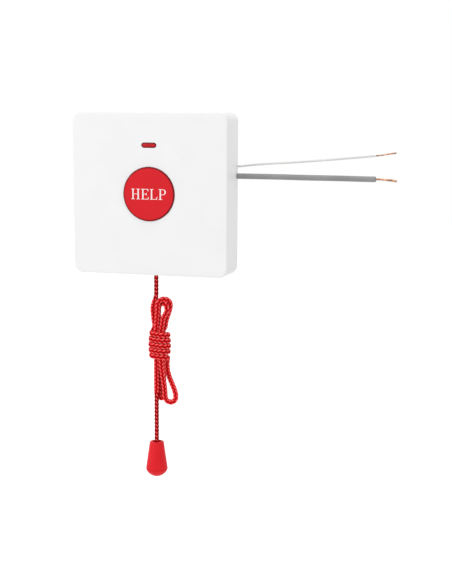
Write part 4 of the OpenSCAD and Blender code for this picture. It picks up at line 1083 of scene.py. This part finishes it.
# %% Legend
LEGEND_HEIGHT, LEGEND_WIDEN, LETTER_GAP = 5.5, 1.36, 0.09
CAP_FRONT_Y = -20.6
INK_THICKNESS = 0.05
FOOT = [(0, 0), (0.26, 0), (0.26, 0.04), (0.18, 0.06)]
HEAD = [(0, 1), (0, 0.96), (0.08, 0.94), (0.08, 0.06), (0, 0.04)]
LETTER_H = FOOT + [
    (0.18, 0.475), (0.47, 0.475), (0.47, 0.06), (0.39, 0.04), (0.39, 0), (0.65, 0), (0.65, 0.04),
    (0.57, 0.06), (0.57, 0.94), (0.65, 0.96), (0.65, 1), (0.39, 1), (0.39, 0.96), (0.47, 0.94),
    (0.47, 0.525), (0.18, 0.525), (0.18, 0.94), (0.26, 0.96), (0.26, 1)] + HEAD
LETTER_E = [
    (0, 0), (0.54, 0), (0.56, 0.24), (0.53, 0.24), (0.47, 0.05), (0.18, 0.05), (0.18, 0.485),
    (0.34, 0.485), (0.38, 0.39), (0.41, 0.39), (0.41, 0.63), (0.38, 0.63), (0.34, 0.535),
    (0.18, 0.535), (0.18, 0.95), (0.45, 0.95), (0.51, 0.78), (0.54, 0.78), (0.53, 1)] + HEAD
LETTER_L = [
    (0, 0), (0.53, 0), (0.56, 0.28), (0.53, 0.28), (0.46, 0.05), (0.18, 0.05), (0.18, 0.94),
    (0.27, 0.96), (0.27, 1)] + HEAD


def bowl(x, middle, wide, high):
    """Right half of an ellipse from its bottom to its top."""
    angle = np.linspace(-math.pi / 2, math.pi / 2, 21)
    return list(zip(x + wide * np.cos(angle), middle + high * np.sin(angle)))


LETTER_P = FOOT[:1] + [(0.28, 0), (0.28, 0.04), (0.18, 0.06), (0.18, 0.455)] \
    + bowl(0.32, 0.7275, 0.22, 0.2725) + HEAD
EYE_OF_P = [(0.18, 0.505)] + bowl(0.32, 0.7275, 0.12, 0.2225) + [(0.18, 0.95)]
LEGEND = [[LETTER_H], [LETTER_E], [LETTER_L], [LETTER_P, EYE_OF_P]]


def legend():
    """Ink plates: each letter a filled flat curve with a thickness, made a mesh and stood up so
    that its left to right is x and its foot to head is z."""
    curve = bpy.data.curves.new("legend_ink", "CURVE")
    curve.dimensions, curve.fill_mode = "2D", "BOTH"
    curve.extrude = INK_THICKNESS / 2 * MM
    widths = [max(x for x, z in outlines[0]) for outlines in LEGEND]
    whole = sum(widths) + LETTER_GAP * (len(widths) - 1)
    start = -whole / 2
    for outlines, width in zip(LEGEND, widths):
        for points in outlines:
            spline = curve.splines.new("POLY")
            spline.points.add(len(points) - 1)
            spline.use_cyclic_u = True
            flat = np.array(points, float) * LEGEND_HEIGHT * MM
            flat[:, 0] = (flat[:, 0] + start * LEGEND_HEIGHT * MM) * LEGEND_WIDEN
            flat[:, 1] -= LEGEND_HEIGHT / 2 * MM
            rows = np.column_stack([flat, np.zeros(len(flat)), np.ones(len(flat))])
            spline.points.foreach_set("co", rows.astype(np.float32).ravel())
        start += width + LETTER_GAP
    maker = bpy.data.objects.new("legend_maker", curve)
    mesh = bpy.data.meshes.new_from_object(maker)
    bpy.data.objects.remove(maker)
    stand = Matrix([(1, 0, 0, 0), (0, 0, -1, CAP_FRONT_Y * MM), (0, 1, 0, 0), (0, 0, 0, 1)])
    mesh.transform(stand)
    piece = bpy.data.objects.new("legend_ink", mesh)
    scene.collection.objects.link(piece)
    low, high = np.array(piece.bound_box)[[0, 6]] / MM
    print("legend from", np.round(low, 2), "to", np.round(high, 2), "mm")
    return piece


def ink_material():
    """Pad-printed white ink: matt, and a little thin in places, so that red shows through."""
    material, tree, shader = new_material(
        "pad_print_ink_white", Roughness=0.55, Specular_IOR_Level=0.2)
    thin = patches(tree, 0.5, low=0.45, high=0.8, detail=3.0)
    drive(shader, Base_Color=layered(tree, "#fbf4f2", (thin, "#f4dcd8")))
    return material


place(legend(), "button", "white_plastic", ink_material())

# %% [markdown]
# ## Springs
# Both springs are coils of round wire with closed ends: the first and the last half turn
# lie flat, and the pitch opens in between.

# %% Springs
SPRING_TURNS, FLAT_TURNS, TURN_STATIONS = 4, 0.6, 72


def spring(name, centre, axis, radius, wire, low, high):
    """Helix: the angle grows evenly, and the climb follows a speed that is 0 at both ends and
    full after FLAT_TURNS."""
    turn = np.linspace(0, SPRING_TURNS, SPRING_TURNS * TURN_STATIONS + 1)
    speed = plateau(turn, 0, SPRING_TURNS, FLAT_TURNS)
    climb = np.cumsum(speed) / speed.sum()
    angle = 2 * math.pi * turn
    h = low + (high - low) * climb
    route = laid_on(axis, radius * np.cos(angle), radius * np.sin(angle), h)
    grid = tube(route + np.array(centre, float), wire / 2, laid_on(axis, 0, 0, 1),
                round_ends=wire / 6)
    return surface(name, [grid])


button_coil = spring("button_return_spring", (0, 0, 0), "y", 19.97 / 2, 0.8, -9.5, -18.2)
place(button_coil, "housing", "spring_steel", SPRING_STEEL, "button_spring")
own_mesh(button_coil)
slider_coil = spring("slider_return_spring", (0, CORD_Y, 0), "z", 3.0, 0.6, -37.3, -29.3)
place(slider_coil, "housing", "spring_steel", SPRING_STEEL, "slider_spring")
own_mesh(slider_coil)

# %% [markdown]
# ## Leads inside
# Two thin insulated leads join the micro switch to the board. They are drawn as the other
# wires are, with their ends sunk into the solder. Their points count from the slider's top.

# %% Leads
SLIDER_TOP_Z = -17.0
COMMON_ROUTE = [
    (25, -10.6, -18.6), (26.4, -10.6, -18.6), (27.8, -10.6, -17.2), (28.4, -10.6, -13),
    (28.4, -10.8, -7), (27.4, -11.2, -1), (24, -11.8, 2.4), (20, -12.2, 4.4), (17.6, -12.2, 5),
    (16.4, -11.7, 5), (16, -10.6, 5), (16, -9.1, 5)]
OPEN_ROUTE = [
    (25, -10.6, -13.6), (26, -10.6, -13.6), (26.6, -10.6, -12.4), (26.6, -10.8, -8),
    (25, -11.2, -2.5), (20, -11.8, 1), (15, -12.2, 4), (13, -12.2, 4.8), (11.6, -11.7, 5),
    (11.2, -10.6, 5), (11.2, -9.1, 5)]
LEAD_D = 1.2
RED_JACKET = moulded("pvc_red", "#a81420", "#98121c", 0.4, grit_mm=0.6)
BLUE_JACKET = moulded("pvc_blue", "#1c2f96", "#182a86", 0.4, grit_mm=0.6)
for node, points, slot, finish in (
        ("switch_lead_common", COMMON_ROUTE, "red_jacket", RED_JACKET),
        ("switch_lead_open", OPEN_ROUTE, "blue_jacket", BLUE_JACKET)):
    line = softened(resampled(np.array(points) + [0, 0, SLIDER_TOP_Z], 0.3), 4)
    lead = surface(node + "_jacket", [tube(line, LEAD_D / 2, [0, 1, 0.3], sides=20)])
    place(lead, "housing", slot, finish, node)


# %% [markdown]
# ## Parts on the board
# Resistors are lacquered ceramic with colour bands, and the diode is black epoxy with one grey
# band at its cathode. The bands follow the length of the body, so they are drawn by the
# Object coordinate along it.

# %% Banded parts
PART_X, PART_LENGTH = -20.0, 6.3
TIN = "#c3c5c8"
RESISTOR_BANDS = ((0.12, 0.22), (0.34, 0.44), (0.56, 0.66), (0.80, 0.90))


def banded(name, body, codes, spans, rough):
    """Body with bands between two tinned legs, by the place along x. The colour ramp is three
    bodies long, so the body itself lies between a third and two thirds of it."""
    material, tree, shader = new_material(name, IOR=1.5)
    position = add(tree, "ShaderNodeTexCoord", out="Object")
    x = add(tree, "ShaderNodeSeparateXYZ", {0: position}, "X")
    share = add(tree, "ShaderNodeMapRange", {
        "Value": x, "From Min": (PART_X - 1.5 * PART_LENGTH) * MM,
        "From Max": (PART_X + 1.5 * PART_LENGTH) * MM})
    bands = add(tree, "ShaderNodeValToRGB", {"Fac": share})
    ramp = bands.node.color_ramp
    ramp.interpolation = "CONSTANT"
    ramp.elements[0].position, ramp.elements[0].color = 0.0, srgb(TIN)
    ramp.elements[1].position, ramp.elements[1].color = 2 / 3, srgb(TIN)
    ramp.elements.new(1 / 3).color = srgb(body)
    for code, (start, end) in zip(codes, spans):
        ramp.elements.new((1 + start) / 3).color = srgb(code)
        ramp.elements.new((1 + end) / 3).color = srgb(body)
    away = add(tree, "ShaderNodeMath", {0: x, 1: PART_X * MM}, operation="SUBTRACT")
    away = add(tree, "ShaderNodeMath", {0: away}, operation="ABSOLUTE")
    leg = add(tree, "ShaderNodeMath", {0: away, 1: PART_LENGTH / 2 * MM},
              operation="GREATER_THAN")
    cloud = patches(tree, 0.8)
    shaded = add(tree, "ShaderNodeMix", {0: cloud, 6: bands, 7: srgb("#d8d8d8")}, 2,
                 data_type="RGBA", blend_type="MULTIPLY")
    polish = {"Value": cloud, "To Min": rough - 0.05, "To Max": rough + 0.05}
    drive(shader, Base_Color=shaded, Metallic=leg,
          Roughness=add(tree, "ShaderNodeMapRange", polish),
          Normal=relief_of(tree, noise(tree, 0.4), 0.01))
    return material


RESISTOR = banded("lacquered_ceramic_tan", "#cdb083",
                  ("#7a3a12", "#141414", "#c8321e", "#b08a2a"), RESISTOR_BANDS, 0.35)
LAMP_RESISTOR = banded("lacquered_ceramic_sand", "#d2b98e",
                       ("#d07a14", "#d07a14", "#7a3a12", "#b08a2a"), RESISTOR_BANDS, 0.35)
DIODE = banded("epoxy_black_banded", "#161616", ("#b9b9b9",), ((0.74, 0.88),), 0.4)

# %% [markdown]
# ## The board and the lamp
# The board is glass epoxy under green solder mask: the copper tracks below it show as slightly
# lighter lines. The signal lamp behind the window is cast in clear red epoxy.

# %% Board and lamp materials
TRACK_GRID_MM, MASK_STEP_MM = 8, 0.03


def board_material():
    """Solder mask over copper: tracks are the mortar lines of a brick pattern laid in the
    board's plane, seen as a lighter green and as a slight step."""
    material, tree, shader = new_material("solder_mask_green", Roughness=0.3, IOR=1.5)
    position = add(tree, "ShaderNodeTexCoord", out="Object")
    parts = add(tree, "ShaderNodeSeparateXYZ", {0: position}).node.outputs
    flat = add(tree, "ShaderNodeCombineXYZ", {0: parts["X"], 1: parts["Z"]})
    inputs = {"Vector": flat, "Scale": 1 / (TRACK_GRID_MM * MM), "Mortar Size": 0.035,
              "Mortar Smooth": 0.1, "Brick Width": 0.9, "Row Height": 0.38,
              "Color1": srgb("#0d5a2a"), "Color2": srgb("#0f6330"), "Mortar": srgb("#2c8a4c")}
    tracks = add(tree, "ShaderNodeTexBrick", inputs).node.outputs
    weave = patches(tree, 0.5, most=0.3)
    drive(shader, Base_Color=layered(tree, tracks["Color"], (weave, "#0a4a22")),
          Normal=relief_of(tree, tracks["Fac"], MASK_STEP_MM))
    return material


def lamp_material():
    """Clear red epoxy of the signal lamp: shiny, and darker in soft patches."""
    material, tree, shader = new_material(
        "epoxy_red_clear", Roughness=0.08, IOR=1.5, Transmission_Weight=0.35)
    cloud = patches(tree, 1.5, low=0.35, high=0.65)
    drive(shader, Base_Color=layered(tree, "#e0353a", (cloud, "#b01318")))
    return material


# %% [markdown]
# ## Materials of the CAD parts
# The parts whose CAD shape is already right keep their mesh and get a finish.

# %% Dress the CAD parts
FINISHES = {
    "rear_base": BASE_WHITE, "cord_bush": BUSH_WHITE, "call_button": BUTTON_RED,
    "signal_lamp": lamp_material(), "circuit_board": board_material(), "board_screws": ZINC,
    "push_switch_body": SWITCH_BLACK, "push_switch_legs": ZINC,
    "push_switch_plunger": SWITCH_BLACK, "terminal_block": TERMINAL_GREEN,
    "terminal_screws": ZINC, "terminal_clamps": BRASS, "wire_ends": COPPER,
    "line_resistor": RESISTOR, "lamp_resistor": LAMP_RESISTOR, "line_diode": DIODE,
    "slider_keeper": SLIDER_IVORY, "keeper_screws": ZINC, "pull_slider": SLIDER_IVORY,
    "micro_switch_body": SWITCH_BLACK, "micro_switch_lever": ZINC,
    "micro_switch_plunger": PLUNGER_RED, "micro_switch_terminals": BRASS,
    "micro_switch_screws": ZINC, "wire_clamp": SLIDER_IVORY, "clamp_screws": ZINC,
}
for node, finish in FINISHES.items():
    NODES[node].data.materials.clear()
    NODES[node].data.materials.append(finish)
shown = [node for node, piece in NODES.items() if not piece.hide_render]
print("CAD parts without a finish:", sorted(set(shown) - set(FINISHES)))

# %% [markdown]
# ## Floor, background and lamps
# The photograph is a cut-out on white. The world is white to the camera and in reflections, and
# gives the object an even light a little below that. A large lamp from the front left and one
# from above shape it: the front is brighter than the side, and the top is brightest. The floor
# is pale and lies below the tip, far enough to hold only a soft shadow.

# %% Stage
AMBIENT, FLOOR_GLOW = 0.78, 0.35
FLOOR_HALF, FLOOR_Z = 3.0, -0.30


def white_world():
    """World: white for camera, glossy and transmission rays, AMBIENT for what lights surfaces."""
    world = bpy.data.worlds.new("white_studio")
    scene.world = world
    world.use_nodes = True
    tree = world.node_tree
    background = tree.nodes["Background"]
    background.inputs["Color"].default_value = (1, 1, 1, 1)
    rays = add(tree, "ShaderNodeLightPath").node.outputs
    seen = rays["Is Camera Ray"]
    for kind in ("Is Glossy Ray", "Is Transmission Ray"):
        seen = add(tree, "ShaderNodeMath", {0: seen, 1: rays[kind]}, operation="MAXIMUM")
    strength = add(tree, "ShaderNodeMapRange", {"Value": seen, "To Min": AMBIENT})
    tree.links.new(strength, background.inputs["Strength"])


def floor_material():
    """Pale floor. To the camera it gets a little light of its own, so that it meets the white
    background and still takes the shadow."""
    material, tree, shader = new_material(
        "painted_white_floor", Roughness=0.9, Base_Color=srgb("#f2f2f2"),
        Emission_Color=(1, 1, 1, 1))
    seen = add(tree, "ShaderNodeLightPath", out="Is Camera Ray")
    glow = add(tree, "ShaderNodeMapRange", {"Value": seen, "To Max": FLOOR_GLOW})
    drive(shader, Emission_Strength=glow)
    return material


def floor():
    """Square floor: its corners at plus and minus FLOOR_HALF metres, anticlockwise."""
    mesh = bpy.data.meshes.new("floor")
    corners = [(FLOOR_HALF * x, FLOOR_HALF * y, FLOOR_Z)
               for x, y in ((-1, -1), (1, -1), (1, 1), (-1, 1))]
    mesh.from_pydata(corners, [], [(0, 1, 2, 3)])
    mesh.materials.append(floor_material())
    piece = bpy.data.objects.new("floor", mesh)
    scene.collection.objects.link(piece)


def area_lamp(name, direction, distance, size, share):
    """Square lamp that looks at the cover's middle. A share of 1 lights a facing white surface
    to 1: watts = share * pi^2 * distance^2."""
    data = bpy.data.lights.new(name, "AREA")
    data.shape, data.size = "SQUARE", size
    data.energy = share * math.pi ** 2 * distance ** 2
    lamp = bpy.data.objects.new(name, data)
    back = unit(np.array(direction, float))
    right = unit(np.cross([0.0, 0.1, 1.0], back))
    stand = np.eye(4)
    stand[:3, 0], stand[:3, 1], stand[:3, 2] = right, np.cross(back, right), back
    stand[:3, 3] = back * distance
    lamp.matrix_world = Matrix(stand.tolist())
    scene.collection.objects.link(lamp)
    print(name, "gives", round(data.energy, 2), "W")


white_world()
floor()
area_lamp("key_lamp", (-0.75, -1.0, 0.45), 1.5, 0.9, 0.19)
area_lamp("top_lamp", (0.05, -0.15, 1.0), 1.4, 0.7, 0.29)
scene.view_settings.view_transform = "Standard"
